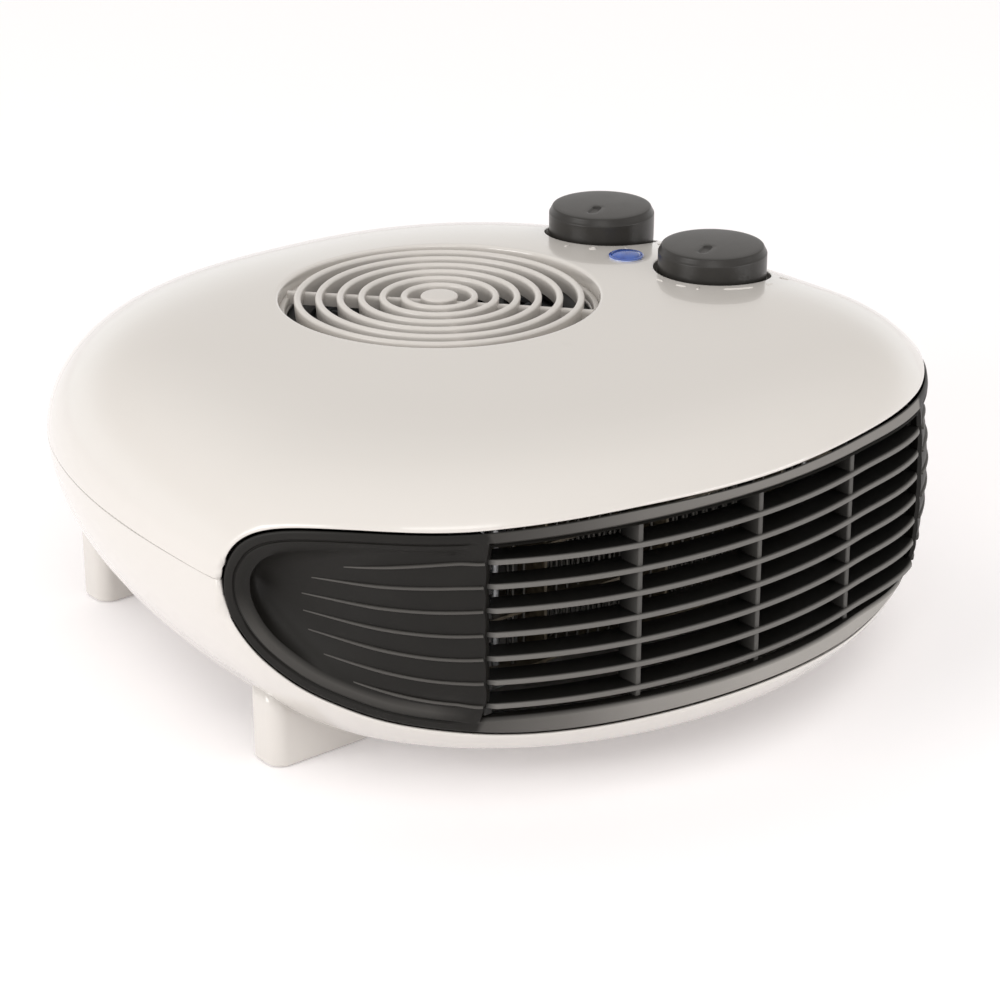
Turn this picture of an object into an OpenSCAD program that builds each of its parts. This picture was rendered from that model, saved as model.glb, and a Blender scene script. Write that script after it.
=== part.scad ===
// Fan convector heater, flat table type: domed two-shell body, front louvred
// outlet with side scoops, round inlet grille and two rotary knobs on top.
// Millimetres, +Z up, front is -Y, the feet stand on z = 0.

/* [Body] */
// Overall width of the shells at the parting line
body_w = 264; // [252:1:276]
// Depth from the widest point back to the rear
rear_d = 175.6; // [166:0.2:186]
// Front semi-axis of the domed cover, before the front face is cut off
front_top = 94; // [92:0.5:98]
// Front semi-axis of the lower shell, before the front face is cut off
front_low = 103.2; // [101:0.2:106]
// Y of the widest point
wide_y = -43.75; // [-46:0.25:-41]
// Height of the parting line between the two shells
part_z = 65.4; // [63:0.2:68]
// Rise of the dome above the parting line
dome_h = 36.5; // [34:0.5:38]
// Squareness of the dome section
dome_q = 7.1; // [6:0.1:9]
// Depth of the lower shell under the parting line
low_h = 51; // [46:0.5:54]
// Plan scale of the flat underside
low_r = 0.784; // [0.74:0.002:0.82]
// Wall thickness of both shells
wall = 2.4; // [2:0.1:3]
// Thickness of the front bezel
bezel_t = 2.2; // [1.8:0.1:2.8]

/* [Outlet] */
// Distance between two louvre blades
louvre_pitch = 7.2; // [6.8:0.1:7.6]
// Number of louvre blades
louvre_n = 7; // [5:1:7]
// Thickness of a blade
louvre_t = 1.5; // [1.2:0.1:2]
// Height of the front edge of the middle blade
louvre_z = 54; // [52:0.5:56]
// Half width of the outlet opening
outlet_w = 81.5; // [78:0.5:83]
// Lower edge of the outlet opening
outlet_z0 = 28.6; // [27:0.2:30]
// Upper edge of the outlet opening
outlet_z1 = 83.9; // [82:0.2:85]

/* [Inlet grille and fan] */
// Y of the fan axis
fan_y = 17.25; // [15:0.25:20]
// Radius of the round inlet opening
inlet_r = 50; // [46:0.5:52]
// Number of concentric grille rings
ring_n = 6; // [4:1:6]
// Outer radius of the impeller
wheel_r = 45; // [40:0.5:47]
// Number of impeller blades
blade_n = 24; // [16:1:28]
// Radius of the motor shaft
shaft_r = 2; // [1.6:0.1:2.5]

/* [Controls] */
// X of both knob axes
knob_x = 84; // [82:0.5:86]
// Y of the selector knob
knob1_y = 37.5; // [36:0.5:39]
// Y of the thermostat knob
knob2_y = -16.5; // [-18:0.5:-15]
// Radius of a knob
knob_r = 17.4; // [16:0.2:18]
// Height of the knob tops
knob_top = 109.6; // [107:0.2:112]
// Radius of the knob spindles
spindle_r = 3; // [2.5:0.1:3.2]
// Rest angle of both knob pointers
pointer_a = 203; // [180:1:225]

/* [Feet and cord inlet] */
// Length of one moulded foot along X
foot_l = 36; // [30:1:40]
// Width of one moulded foot along Y
foot_w = 14; // [12:1:16]
// X of the cord inlet
cord_x = 50; // [44:1:56]
// Height of the cord inlet
cord_z = 36; // [34:0.5:38]
// Radius of the cord hole in the bushing
cord_r = 3.6; // [3.2:0.1:4]

/* [Hidden] */
half_w = body_w / 2;
nf = 2.02;            // front plan exponent
nb = 2.46;            // rear plan exponent
dome_w = 0.616;       // exponent of the dome section
low_w = 1.083;        // exponent of the lower section
N = 44;               // points around a shell
floor_z = part_z - low_h;
in_floor = floor_z + wall;
duct_top = 93;
ring_pitch = 6.62;
stack_z0 = 38;
stack_z1 = 56;
el_y = -84;           // middle of the heating element

// ---- outline functions ----
function sp(v, e) = sign(v) * pow(abs(v), e);
function plan(a, A, F, B, s) = let (n = sin(a) < 0 ? nf : nb)
  [s * A * sp(cos(a), 2 / n), wide_y + s * (sin(a) < 0 ? F : B) * sp(sin(a), 2 / n)];
function rr(x, y, F) = let (dy = y - wide_y, n = dy < 0 ? nf : nb, b = dy < 0 ? F : rear_d)
  pow(pow(abs(x) / half_w, n) + pow(abs(dy) / b, n), 1 / n);
function dome_z(r, h) = part_z + h * pow(max(0, 1 - pow(r, dome_q)), dome_w);
function low_z(r, h) = let (u = min(1, (1 - r) / (1 - low_r)))
  part_z - h * sqrt(max(0, 1 - pow(1 - u, low_w)));
// front face in plan: a shallow arc that wraps back at both ends
function face_y(x) = let (d = max(0, abs(x) - 80))
  -131.8 + 0.0035 * x * x + 8.5 * pow(d / 33, 2.4) / pow(1 + pow(d / 50, 8), 0.25);
function louvre_y(x) = -129.75 + 0.0028065 * x * x + 7.735e-8 * pow(x, 4);

// ---- helpers ----
module stack(rings) { // rings: list of closed point loops, all the same length
  m = len(rings); n = len(rings[0]);
  polyhedron(points = [for (r = rings) for (p = r) p],
    faces = concat([[for (i = [0:n - 1]) i]],
      [for (k = [0:m - 2]) for (i = [0:n - 1])
        [k * n + i, (k + 1) * n + i, (k + 1) * n + (i + 1) % n, k * n + (i + 1) % n]],
      [[for (i = [n - 1:-1:0]) (m - 1) * n + i]]), convexity = 10);
}
function loop(A, F, B, s, z) = [for (i = [0:N - 1]) let (p = plan(i * 360 / N, A, F, B, s)) [p[0], p[1], z]];
dome_steps = [1, 0.994, 0.98, 0.955, 0.92, 0.87, 0.8, 0.68, 0.45, 0.15];
low_steps = [0.15, low_r, 0.82, 0.86, 0.9, 0.935, 0.965, 0.987, 1];
module low_solid(o) // filled lower shell, offset inwards by o
  stack([for (r = low_steps) loop(half_w - o, front_low - o, rear_d - o, r, low_z(r, low_h - o))]);
module front_cut(d, z0, z1) { // everything in front of the face, moved back by d
  translate([0, 0, z0]) linear_extrude(z1 - z0)
    polygon(concat([for (x = [-136:4:136]) [x, face_y(x) + d]], [[136, -170], [-136, -170]]));
}
module band(d0, d1, z0, z1, x1 = 136) { // curved wall that follows the face
  translate([0, 0, z0]) linear_extrude(z1 - z0)
    polygon(concat([for (i = [-34:34]) let (x = i * x1 / 34) [x, face_y(x) + d0]],
      [for (i = [34:-1:-34]) let (x = i * x1 / 34) [x, face_y(x) + d1]]));
}
module at(x, y, z = 0) { translate([x, y, z]) children(); }
module tube(r1, r0, z0, z1, fn = 48) { at(0, 0, z0) difference() {
  cylinder(r = r1, h = z1 - z0, $fn = fn);
  at(0, 0, -1) cylinder(r = r0, h = z1 - z0 + 2, $fn = fn); } }
module rod_y(r, y0, y1, fn = 32) { at(0, y0) rotate([-90, 0, 0]) cylinder(r = r, h = y1 - y0, $fn = fn); }
module screw(r, hr, hh, len) { // head on z = 0 downwards, shank up
  at(0, 0, -hh) difference() { cylinder(r = hr, h = hh, $fn = 24);
    at(-hr * 0.7, -0.4, -1) cube([hr * 1.4, 0.8, 1.8]); at(-0.4, -hr * 0.7, -1) cube([0.8, hr * 1.4, 1.8]); }
  cylinder(r = r, h = len, $fn = 24);
}
boss_xy = [[100, -8], [-100, -8], [76, 64], [-76, 64]];
boss_top = [91, 96.2, 95.4, 95.4];

// ---- shells ----
module top_cover() color("#F1EEE9") {
  difference() {
    union() {
      difference() {
        dome_shell();
        at(0, fan_y, 90) cylinder(r = inlet_r + 0.4, h = 20, $fn = 96);
        for (y = [knob1_y, knob2_y]) at(knob_x, y, 91) cylinder(r = 19.5, h = 20, $fn = 64);
        at(69.5, 8.5, 90) cylinder(r = 5.1, h = 20, $fn = 32);
      }
      for (y = [knob1_y, knob2_y]) at(knob_x, y) {
        tube(20.5, 18.9, 90, 94.6, 64);
        tube(20.5, 5.3, 90, 92, 64);
        for (dy = [-15, 15]) at(0, dy) tube(2.8, 1.1, 87.2, 90.5, 24);
      }
      at(0, fan_y) { // seat of the inlet grille
        tube(inlet_r + 2.6, inlet_r + 0.4, 95, 100.4, 96);
        tube(inlet_r + 2.6, inlet_r - 2.5, 93.4, 95, 96);
      }
      for (i = [0:3]) at(boss_xy[i][0], boss_xy[i][1]) tube(4.6, 1.45, part_z + 0.1, boss_top[i], 24);
    }
    front_cut(bezel_t, 60, 110);
  }
}
module dome_shell() {
  a = [for (r = dome_steps) loop(half_w, front_top, rear_d, r, dome_z(r, dome_h))];
  b = [for (i = [len(dome_steps) - 1:-1:0]) let (r = dome_steps[i])
    loop(half_w - wall, front_top - wall, rear_d - wall, r, dome_z(r, dome_h - wall))];
  ring_shell(concat(a, b));
}
module ring_shell(rings) { // closed skin: outer cap, outer wall, rim, inner wall, inner cap
  m = len(rings); h = m / 2; n = N;
  polyhedron(points = [for (r = rings) for (p = r) p],
    faces = concat(
      [for (k = [0:m - 1]) if (k != h - 1) for (i = [0:n - 1]) let (k2 = (k + 1) % m)
        [k * n + i, k2 * n + i, k2 * n + (i + 1) % n, k * n + (i + 1) % n]],
      [[for (i = [n - 1:-1:0]) (h - 1) * n + i]], [[for (i = [0:n - 1]) h * n + i]]), convexity = 12);
}
module low_shell() {
  a = [for (i = [len(low_steps) - 1:-1:0]) let (r = low_steps[i])
    loop(half_w, front_low, rear_d, r, low_z(r, low_h))];
  b = [for (r = low_steps) loop(half_w - wall, front_low - wall, rear_d - wall, r, low_z(r, low_h - wall))];
  mirror_shell(concat(a, b));
}
module mirror_shell(rings) {
  m = len(rings); h = m / 2; n = N;
  polyhedron(points = [for (r = rings) for (p = r) p],
    faces = concat(
      [for (k = [0:m - 1]) if (k != h - 1) for (i = [0:n - 1]) let (k2 = (k + 1) % m)
        [k * n + (i + 1) % n, k2 * n + (i + 1) % n, k2 * n + i, k * n + i]],
      [[for (i = [0:n - 1]) (h - 1) * n + i]], [[for (i = [n - 1:-1:0]) h * n + i]]), convexity = 12);
}
module foot(h) { // outer front corner at the origin, rounded in plan
  linear_extrude(h) polygon(concat(
    [for (a = [180:15:270]) [5 + 5 * cos(a), 5 + 5 * sin(a)]],
    [for (a = [270:15:360]) [foot_l - 4 + 4 * cos(a), 4 + 4 * sin(a)]],
    [for (a = [0:15:90]) [foot_l - 4 + 4 * cos(a), foot_w - 4 + 4 * sin(a)]],
    [for (a = [90:15:180]) [5 + 5 * cos(a), foot_w - 5 + 5 * sin(a)]]));
}
module bottom_housing() color("#EDE9E3") {
  difference() {
    union() {
      difference() {
        low_shell();
        // intake slots in the flat underside, behind the motor
        for (i = [-3:3]) at(i * 9 - 2, 64, 10) cube([4, 22, 10]);
      }
      difference() { // moulded feet, closed off inside the wall
        for (s = [-1, 1]) {
          at(s < 0 ? -112 : 112 - foot_l, -52) foot(48);
          at(s < 0 ? -90 : 90 - foot_l, 77) foot(48);
        }
        low_solid(wall / 2);
      }
      intersection() { // everything that stands on the floor inside
        low_solid(0.4);
        union() {
          for (p = boss_xy) at(p[0], p[1], 14) cylinder(r = 6.4, h = part_z - 14.3, $fn = 32);
          for (x = [-29, 29], y = [-1, 56]) at(x, y, 15.4) cylinder(r = 4, h = 8.6, $fn = 24);
          for (x = [-65, 65]) at(x - 4, el_y - 5, 15.4) cube([8, 10, 10.6]);
          for (dx = [-10, 10]) at(cord_x + dx, 87.5, 15.4) cylinder(r = 3.4, h = 23, $fn = 24);
          at(cord_x - 6, 85.5, 15.4) cube([12, 4, 17]);
          for (dx = [-4.8, 4.8]) at(54 + dx, 74, 15.4) cylinder(r = 3, h = 10.6, $fn = 24);
        }
      }
      at(cord_x, 0, cord_z) rod_y(9.5, 96, 111.6, 40);
      intersection() { // deep side of the bushing pocket, flush with the shell
        at(cord_x, 0, cord_z) rod_y(10.9, 96, 124, 40);
        low_solid(0.05);
      }
    }
    front_cut(bezel_t, 5, 70);
    for (p = boss_xy) at(p[0], p[1], -1) { cylinder(r = 3.8, h = 31, $fn = 32); cylinder(r = 1.9, h = 80, $fn = 24); }
    for (x = [-29, 29], y = [-1, 56]) at(x, y, 17) cylinder(r = 1.25, h = 20, $fn = 24);
    for (x = [-65, 65]) at(x, el_y, 17) cylinder(r = 1.25, h = 20, $fn = 24);
    for (dx = [-10, 10]) at(cord_x + dx, 87.5, 26) cylinder(r = 1.25, h = 20, $fn = 24);
    for (dx = [-4.8, 4.8]) at(54 + dx, 74, 18) cylinder(r = 1.05, h = 20, $fn = 24);
    at(cord_x, 0, cord_z) { rod_y(6.1, 80, 130, 40); rod_y(8.9, 111.6, 130, 40); rod_y(7.2, 80, 94.9, 40); }
  }
}

// ---- front ----
module scoop_cup(s) { // hollow side scoop, a thin concave skin
  nx = 11; nz = 8; t = 1.7;
  function sx(i) = 82.4 + (123.6 - 82.4) * i / nx;
  function zt(x) = dome_z(rr(x, face_y(x), front_top), dome_h) - 4.9;
  function zl(x) = low_z(rr(x, face_y(x), front_low), low_h) + 5.4;
  function dep(i, j) = 14 * pow(sin(180 * pow(i / nx, 1.35)), 0.8) * (1 - pow(abs(2 * j / nz - 1), 2.6));
  function pt(i, j, d) = let (x = sx(i)) [s * x, face_y(x) + 0.3 + d + max(0, dep(i, j)), zl(x) + (zt(x) - zl(x)) * j / nz];
  pts = concat([for (i = [0:nx]) for (j = [0:nz]) pt(i, j, 0)], [for (i = [0:nx]) for (j = [0:nz]) pt(i, j, t)]);
  w = nz + 1; o = (nx + 1) * w;
  function tri(a, b, c, d) = s > 0 ? [[a, b, c], [a, c, d]] : [[c, b, a], [d, c, a]];
  fs = concat(
    [for (i = [0:nx - 1]) for (j = [0:nz - 1]) for (f = tri(i * w + j, i * w + j + 1, (i + 1) * w + j + 1, (i + 1) * w + j)) f],
    [for (i = [0:nx - 1]) for (j = [0:nz - 1]) for (f = tri(o + (i + 1) * w + j, o + (i + 1) * w + j + 1, o + i * w + j + 1, o + i * w + j)) f],
    [for (i = [0:nx - 1]) for (f = tri(i * w, (i + 1) * w, o + (i + 1) * w, o + i * w)) f],
    [for (i = [0:nx - 1]) for (f = tri((i + 1) * w + nz, i * w + nz, o + i * w + nz, o + (i + 1) * w + nz)) f],
    [for (j = [0:nz - 1]) for (f = tri(j + 1, j, o + j, o + j + 1)) f],
    [for (j = [0:nz - 1]) for (f = tri(nx * w + j, nx * w + j + 1, o + nx * w + j + 1, o + nx * w + j)) f]);
  polyhedron(points = pts, faces = fs, convexity = 8);
}
function edge_t(x) = dome_z(rr(x, face_y(x), front_top), dome_h);
function edge_b(x) = low_z(rr(x, face_y(x), front_low), low_h);
module front_bezel() color("#2B2A28") {
  difference() {
    intersection() {
      band(0, bezel_t - 0.05, 15, 95);
      at(0, -40) rotate([90, 0, 0]) linear_extrude(100) polygon(concat(
        [for (i = [-33:33]) let (x = i * 3.94) [x, edge_t(x) - 0.15]],
        [for (i = [33:-1:-33]) let (x = i * 3.94) [x, edge_b(x) + 0.15]]));
    }
    at(-outlet_w, -150, outlet_z0) cube([2 * outlet_w, 60, outlet_z1 - outlet_z0]);
    for (s = [-1, 1]) at(0, -40) rotate([90, 0, 0]) linear_extrude(100) polygon(concat(
      [for (i = [0:11]) let (x = 83.2 + i * 3.62) [s * x, edge_t(x) - 5.4]],
      [for (i = [11:-1:0]) let (x = 83.2 + i * 3.62) [s * x, edge_b(x) + 5.9]]));
  }
  for (s = [-1, 1]) scoop_cup(s);
}
module blade(i) {
  w = outlet_w - 2.1;
  at(0, 0, louvre_z + (i - (louvre_n - 1) / 2) * louvre_pitch - louvre_t / 2) linear_extrude(louvre_t)
    polygon(concat([for (k = [-12:12]) let (x = k * w / 12) [x, louvre_y(x)]],
      [for (k = [12:-1:-12]) let (x = k * w / 12) [x, louvre_y(x) + 10]]));
}
module outlet_grille() color("#33312F") {
  for (i = [0:louvre_n - 1]) blade(i);
  for (x = [-40.5, 0, 40.5]) at(x - 0.75, louvre_y(x) + 2, outlet_z0 + 0.4) cube([1.5, 8, outlet_z1 - outlet_z0 - 0.8]);
  for (s = [-1, 1]) at(s > 0 ? outlet_w - 2.4 : -outlet_w + 0.2, louvre_y(80) + 2.4, outlet_z0 + 0.4)
    cube([2.2, 8.6, outlet_z1 - outlet_z0 - 0.8]);
}
module inlet_grille() color("#DEDAD4") {
  at(0, fan_y) {
    for (i = [0:ring_n - 1]) let (r = 10.95 + ring_pitch * i) tube(r + 1.15, r - 1.15, 98.2, 101.4, 72);
    at(0, 0, 97.8) cylinder(r = 5.9, h = 3.8, $fn = 48);
    for (a = [61, 130, 241, 310]) rotate(a) at(4.5, -1, 96.6) cube([inlet_r - 5.6, 2, 2.6]);
    tube(inlet_r + 0.1, inlet_r - 1.9, 95.1, 98.2, 96);
  }
}

// ---- knobs and controls ----
module knob(y) {
  at(knob_x, y) rotate(pointer_a) difference() {
    rotate_extrude($fn = 72) polygon([[0, 92.8], [0, knob_top], [11, knob_top - 0.15], [14.6, knob_top - 0.5],
      [knob_r - 0.3, knob_top - 2.4], [knob_r, knob_top - 3.2], [knob_r, 92.8], [knob_r - 2, 92.8], [knob_r - 2, 104.6],
      [5.4, 104.6], [5.4, 92.8]]);
    at(0, 0, 90) cylinder(r = spindle_r, h = 14, $fn = 32);
    at(4.4, -1, knob_top - 0.9) cube([6.6, 2, 2]);
  }
}
module selector_knob() color("#4A4846") knob(knob1_y);
module thermostat_knob() color("#4A4846") knob(knob2_y);
module spindle(y) {
  at(knob_x, y) { at(0, 0, 71) cylinder(r = spindle_r, h = 32.9, $fn = 32);
    at(0, 0, 71) cylinder(r = 6, h = 3, $fn = 32); }
}
module selector_spindle() color("#C9C6BE") spindle(knob1_y);
module thermostat_spindle() color("#B9BBBD") spindle(knob2_y);
module selector_switch() color("#1F1F1F") {
  at(knob_x, knob1_y) {
    difference() {
      at(-11.5, -11.5, 67) cube([23, 23, 19]);
      at(0, 0, 70.9) cylinder(r = 6.1, h = 3.2, $fn = 32);
      at(0, 0, 72) cylinder(r = spindle_r + 0.06, h = 20, $fn = 32);
    }
    tube(5, spindle_r + 0.06, 86, 91.4, 32);
    for (x = [-8, -2.7, 2.7, 8]) at(x - 0.4, -15.5, 70) cube([0.8, 4.2, 6]);
  }
}
module thermostat_body() color("#E4DFD2") {
  at(knob_x, knob2_y) {
    difference() {
      at(-10, -11.5, 68) cube([20, 23, 18]);
      at(0, 0, 70.9) cylinder(r = 6.1, h = 3.2, $fn = 32);
      at(0, 0, 72) cylinder(r = spindle_r + 0.06, h = 20, $fn = 32);
    }
    tube(5, spindle_r + 0.06, 86, 91.4, 32);
  }
}
module thermostat_blades() color("#C9A25A") {
  at(knob_x, knob2_y) { at(-6, -11.5, 66.9) cube([12, 30, 0.6]); at(-4, -11.5, 64.6) cube([8, 26, 0.5]);
    at(0, -8, 64.6) cylinder(r = 2.4, h = 3.4, $fn = 24); at(0, 11, 65) cylinder(r = 1.6, h = 2, $fn = 24); }
}
module control_bracket() color("#B8BBBE") {
  difference() {
    at(65, -35, 86) cube([29.4, 91, 1.2]);
    for (y = [knob1_y, knob2_y]) at(knob_x, y, 80) { cylinder(r = 5.1, h = 10, $fn = 32);
      for (dy = [-15, 15]) at(0, dy) cylinder(r = 1.3, h = 10, $fn = 24); }
    at(69.5, 8.5, 80) cylinder(r = 3.6, h = 10, $fn = 24);
  }
}
module control_screws() color("#8E9092") {
  for (y = [knob1_y, knob2_y], dy = [-15, 15]) at(knob_x, y + dy, 86) screw(1.05, 2.2, 1.5, 4);
}
module pilot_lens() color("#3A5FB5") {
  at(69.5, 8.5) rotate_extrude($fn = 40) polygon([[0, 98], [0, 104.2], [2.4, 103.8], [4.2, 102.95],
    [5.7, 102.1], [5.7, 101.7], [5, 101.65], [5, 95.5], [3.9, 95.5], [3.9, 98]]);
}
module pilot_lamp() color("#E8A070") {
  at(69.5, 8.5) { at(0, 0, 84) cylinder(r = 2.9, h = 11, $fn = 24); at(0, 0, 95) cylinder(r1 = 2.9, r2 = 1, h = 2, $fn = 24);
    for (dx = [-1.2, 1.2]) at(dx, 0, 76) cylinder(r = 0.4, h = 8.4, $fn = 16); }
}

// ---- air path and motor ----
module duct_plan(o) {
  union() {
    at(0, fan_y) circle(r = 60 + o, $fn = 72);
    polygon([[-60 - o, fan_y], [-60 - o, -34], [-76 - o, -58], [-76 - o, -94], [76 + o, -94], [76 + o, -58],
      [60 + o, -34], [60 + o, fan_y]]);
  }
}
module air_duct() color("#3A3A3A") {
  difference() {
    at(0, 0, in_floor + 0.6) linear_extrude(duct_top - in_floor - 0.6) duct_plan(1.8);
    at(0, 0, in_floor) linear_extrude(duct_top - 1.6 - in_floor) duct_plan(0);
    at(-70, -100, in_floor) cube([140, 8, duct_top - 1.6 - in_floor]);
    at(0, fan_y, 60) cylinder(r = 41, h = 50, $fn = 72);
  }
}
module motor_plate() color("#B4B6B8") {
  difference() {
    at(-34, -6, 24) cube([68, 67, 1.5]);
    for (x = [-29, 29], y = [-1, 56]) at(x, y, 20) cylinder(r = 1.5, h = 10, $fn = 24);
    for (x = [-24, 24]) at(x, fan_y, 20) cylinder(r = 1.6, h = 10, $fn = 24);
    at(0, fan_y, 20) cylinder(r = 6, h = 10, $fn = 32);
  }
}
module motor_screws() color("#8E9092") {
  for (x = [-29, 29], y = [-1, 56]) at(x, y, 25.5) mirror([0, 0, 1]) screw(1.2, 2.8, 2, 8);
}
module stator_laminations() color("#8A8C8E") {
  difference() {
    at(-30, fan_y - 22, stack_z0) cube([60, 66, stack_z1 - stack_z0]);
    at(0, fan_y, 30) cylinder(r = 14.6, h = 40, $fn = 64);
    at(-17, fan_y + 18.8, 30) cube([34, 11, 40]);
    for (x = [-24, 24]) at(x, fan_y, 30) cylinder(r = 1.65, h = 40, $fn = 24);
    for (a = [45, 225]) at(0, fan_y) rotate(a) at(15.8, 0, 30) cylinder(r = 1.1, h = 40, $fn = 16);
  }
}
module stator_coil() color("#B4552D") {
  at(0, fan_y + 36.9) difference() {
    at(-13.6, -13.6, 31) cube([27.2, 27.2, 32]);
    at(-20, -7.2, stack_z0 - 0.1) cube([40, 14.4, stack_z1 - stack_z0 + 0.2]);
  }
}
module bearing_bracket(z, up) { // strap with a bush seat, feet reach the stack
  difference() {
    union() {
      at(-28, fan_y - 8, z) cube([56, 16, 1.6]);
      for (x = [-24, 24]) at(x, fan_y, up ? stack_z1 : z + 1.6) cylinder(r = 3.6, h = up ? z - stack_z1 : stack_z0 - z - 1.6, $fn = 24);
      at(0, fan_y, up ? z - 1 : z - 2) cylinder(r = 7, h = 4.6, $fn = 32);
    }
    at(0, fan_y, z - 5) cylinder(r = 5, h = 12, $fn = 32);
    for (x = [-24, 24]) at(x, fan_y, z - 5) cylinder(r = 1.65, h = 60, $fn = 24);
    for (x = [-24, 24]) at(x, fan_y, z - 40) cylinder(r = 1.65, h = 60, $fn = 24);
  }
}
module upper_bearing_bracket() color("#C2C4C6") bearing_bracket(60, true);
module lower_bearing_bracket() color("#C2C4C6") bearing_bracket(32, false);
module bearing_bushes() color("#B08D57") {
  at(0, fan_y) { tube(5, shaft_r + 0.05, 59, 63.6, 32); tube(5, shaft_r + 0.05, 30, 34.6, 32); }
}
module stator_bolts() color("#9A9C9E") {
  for (x = [-24, 24]) at(x, fan_y) {
    at(0, 0, 21.5) cylinder(r = 1.5, h = 42.9, $fn = 24);
    at(0, 0, 61.6) cylinder(r = 2.9, h = 2.4, $fn = 6);
    tube(3.2, 1.52, 25.5, 32, 24);
  }
}
module motor_rotor() color("#A9ABAD") {
  at(0, fan_y) { tube(14.2, shaft_r, 38, 56, 64); tube(12.6, 9, 56, 57.4, 48); tube(12.6, 9, 36.6, 38, 48); }
}
module motor_shaft() color("#D3D5D7") at(0, fan_y, 28.4) cylinder(r = shaft_r, h = 58.6, $fn = 32);
module impeller() color("#6E7276") {
  at(0, fan_y) {
    tube(wheel_r, 7, 66, 67.6, 72);
    tube(8, shaft_r, 65.4, 82, 32);
    tube(wheel_r, wheel_r - 5, 88.4, 89.8, 72);
    for (k = [0:blade_n - 1]) rotate(k * 360 / blade_n) at(0, 0, 67) linear_extrude(22)
      polygon([[34.2, 0], [37, 2.2], [40.6, 3.4], [44.6, 3.6], [44.6, 4.8], [40.2, 4.7], [36.2, 3.4], [33.4, 0.9]]);
  }
}
module impeller_clip() color("#8C8E90") at(0, fan_y) tube(5.5, shaft_r, 82, 83.4, 24);

// ---- heating element ----
module element_boards() color("#C9B98F") {
  difference() {
    for (z = [29.5, 47.4, 65.3, 83.2]) at(-70, el_y - 7, z) cube([140, 14, 0.9]);
    for (x = [-60, 60]) at(x, el_y, 20) cylinder(r = 1.6, h = 80, $fn = 24);
  }
  for (x = [-46, 0, 46]) difference() {
    at(x - 0.5, el_y - 6, 28) cube([1, 12, 57.4]);
  }
}
module heating_wires() color("#9C9A94") {
  n = 15;
  for (row = [-3.6, 3.6], lvl = [0:2]) let (z0 = 30.75 + lvl * 17.9, z1 = z0 + 16.3)
    for (seg = [-1, 1]) for (i = [0:n - 1]) let (xa = seg * (4.2 + i * 4.0), up = (i % 2) == 0)
      if (abs(abs(xa) - 46) > 3.4 && abs(abs(xa) - 60) > 2.2) at(xa, el_y + row, 0) {
        at(0, 0, z0) cylinder(r = 0.45, h = z1 - z0, $fn = 16);
      }
}
module element_brackets() color("#B4B6B8") {
  for (s = [-1, 1]) difference() {
    union() {
      at(s > 0 ? 70 : -71.2, el_y - 8, 26) cube([1.2, 16, 60]);
      at(s > 0 ? 59 : -71.2, el_y - 6, 26) cube([12.2, 12, 1.2]);
    }
    at(s * 65, el_y, 20) cylinder(r = 1.5, h = 8, $fn = 24);
  }
  for (x = [-60, 60]) at(x, el_y, 28) cylinder(r = 1.5, h = 57, $fn = 24);
}
module element_screws() color("#8E9092") {
  for (x = [-65, 65]) at(x, el_y, 27.2) mirror([0, 0, 1]) screw(1.2, 2.8, 2, 8);
}
module thermal_cutout() color("#D9D2C0") {
  at(28, el_y + 10.5, 62) { rotate([-90, 0, 0]) cylinder(r = 8, h = 5, $fn = 40); at(0, 5) rotate([-90, 0, 0]) cylinder(r = 5, h = 3, $fn = 32);
    for (dx = [-4, 4]) at(dx - 2, 7.5, -0.4) cube([4, 7, 0.8]); at(-12, -0.6, -4) cube([24, 0.6, 8]); }
}
module thermal_fuse() color("#E6E4DE") {
  at(-30, el_y + 11.5, 66) rotate([0, 90, 0]) { at(0, 0, -6) cylinder(r = 2.1, h = 12, $fn = 24);
    at(0, 0, -16) cylinder(r = 0.5, h = 32, $fn = 16); }
}

// ---- supply ----
module terminal_block() color("#EDE8D8") {
  difference() {
    for (i = [0:2]) at(40 + i * 9.6, 66, 26) cube([8.8, 16, 12]);
    for (i = [0:2]) { at(44.4 + i * 9.6, 62, 31) rotate([-90, 0, 0]) cylinder(r = 1.7, h = 24, $fn = 24);
      for (y = [69, 79]) at(44.4 + i * 9.6, y, 33.5) cylinder(r = 1.6, h = 8, $fn = 24); }
    for (dx = [-4.8, 4.8]) at(54 + dx, 74, 20) cylinder(r = 1.3, h = 30, $fn = 24);
  }
  difference() { at(40, 72, 26) cube([28, 4, 3]); for (dx = [-4.8, 4.8]) at(54 + dx, 74, 20) cylinder(r = 1.3, h = 30, $fn = 24); }
}
module terminal_screws() color("#C8B060") {
  for (i = [0:2], y = [69, 79]) at(44.4 + i * 9.6, y, 33.6) cylinder(r = 1.5, h = 3.4, $fn = 24);
}
module terminal_fixing_screws() color("#8E9092") {
  for (dx = [-4.8, 4.8]) at(54 + dx, 74, 38) mirror([0, 0, 1]) screw(1, 2.1, 1.6, 18);
}
module cord_bushing() color("#E2DED8") {
  at(cord_x, 0, cord_z) difference() {
    union() { rod_y(6, 94, 113, 40); rod_y(8.6, 111.7, 114, 40); rod_y(6.8, 93, 94.6, 40); }
    rod_y(cord_r, 90, 120, 40);
  }
}
module cord_clamp() color("#2E2E2E") {
  difference() {
    at(cord_x - 14, 84, 38.4) cube([28, 7, 4.6]);
    for (dx = [-10, 10]) at(cord_x + dx, 87.5, 30) cylinder(r = 1.4, h = 20, $fn = 24);
    at(cord_x, 70, cord_z) rotate([-90, 0, 0]) cylinder(r = 3.5, h = 30, $fn = 32);
  }
}
module clamp_screws() color("#8E9092") {
  for (dx = [-10, 10]) at(cord_x + dx, 87.5, 43) mirror([0, 0, 1]) screw(1.2, 2.6, 1.8, 15);
}
module housing_screws() color("#8E9092") {
  for (i = [0:3]) at(boss_xy[i][0], boss_xy[i][1], 30) screw(1.4, 3.4, 2.4, 48);
}

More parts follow.
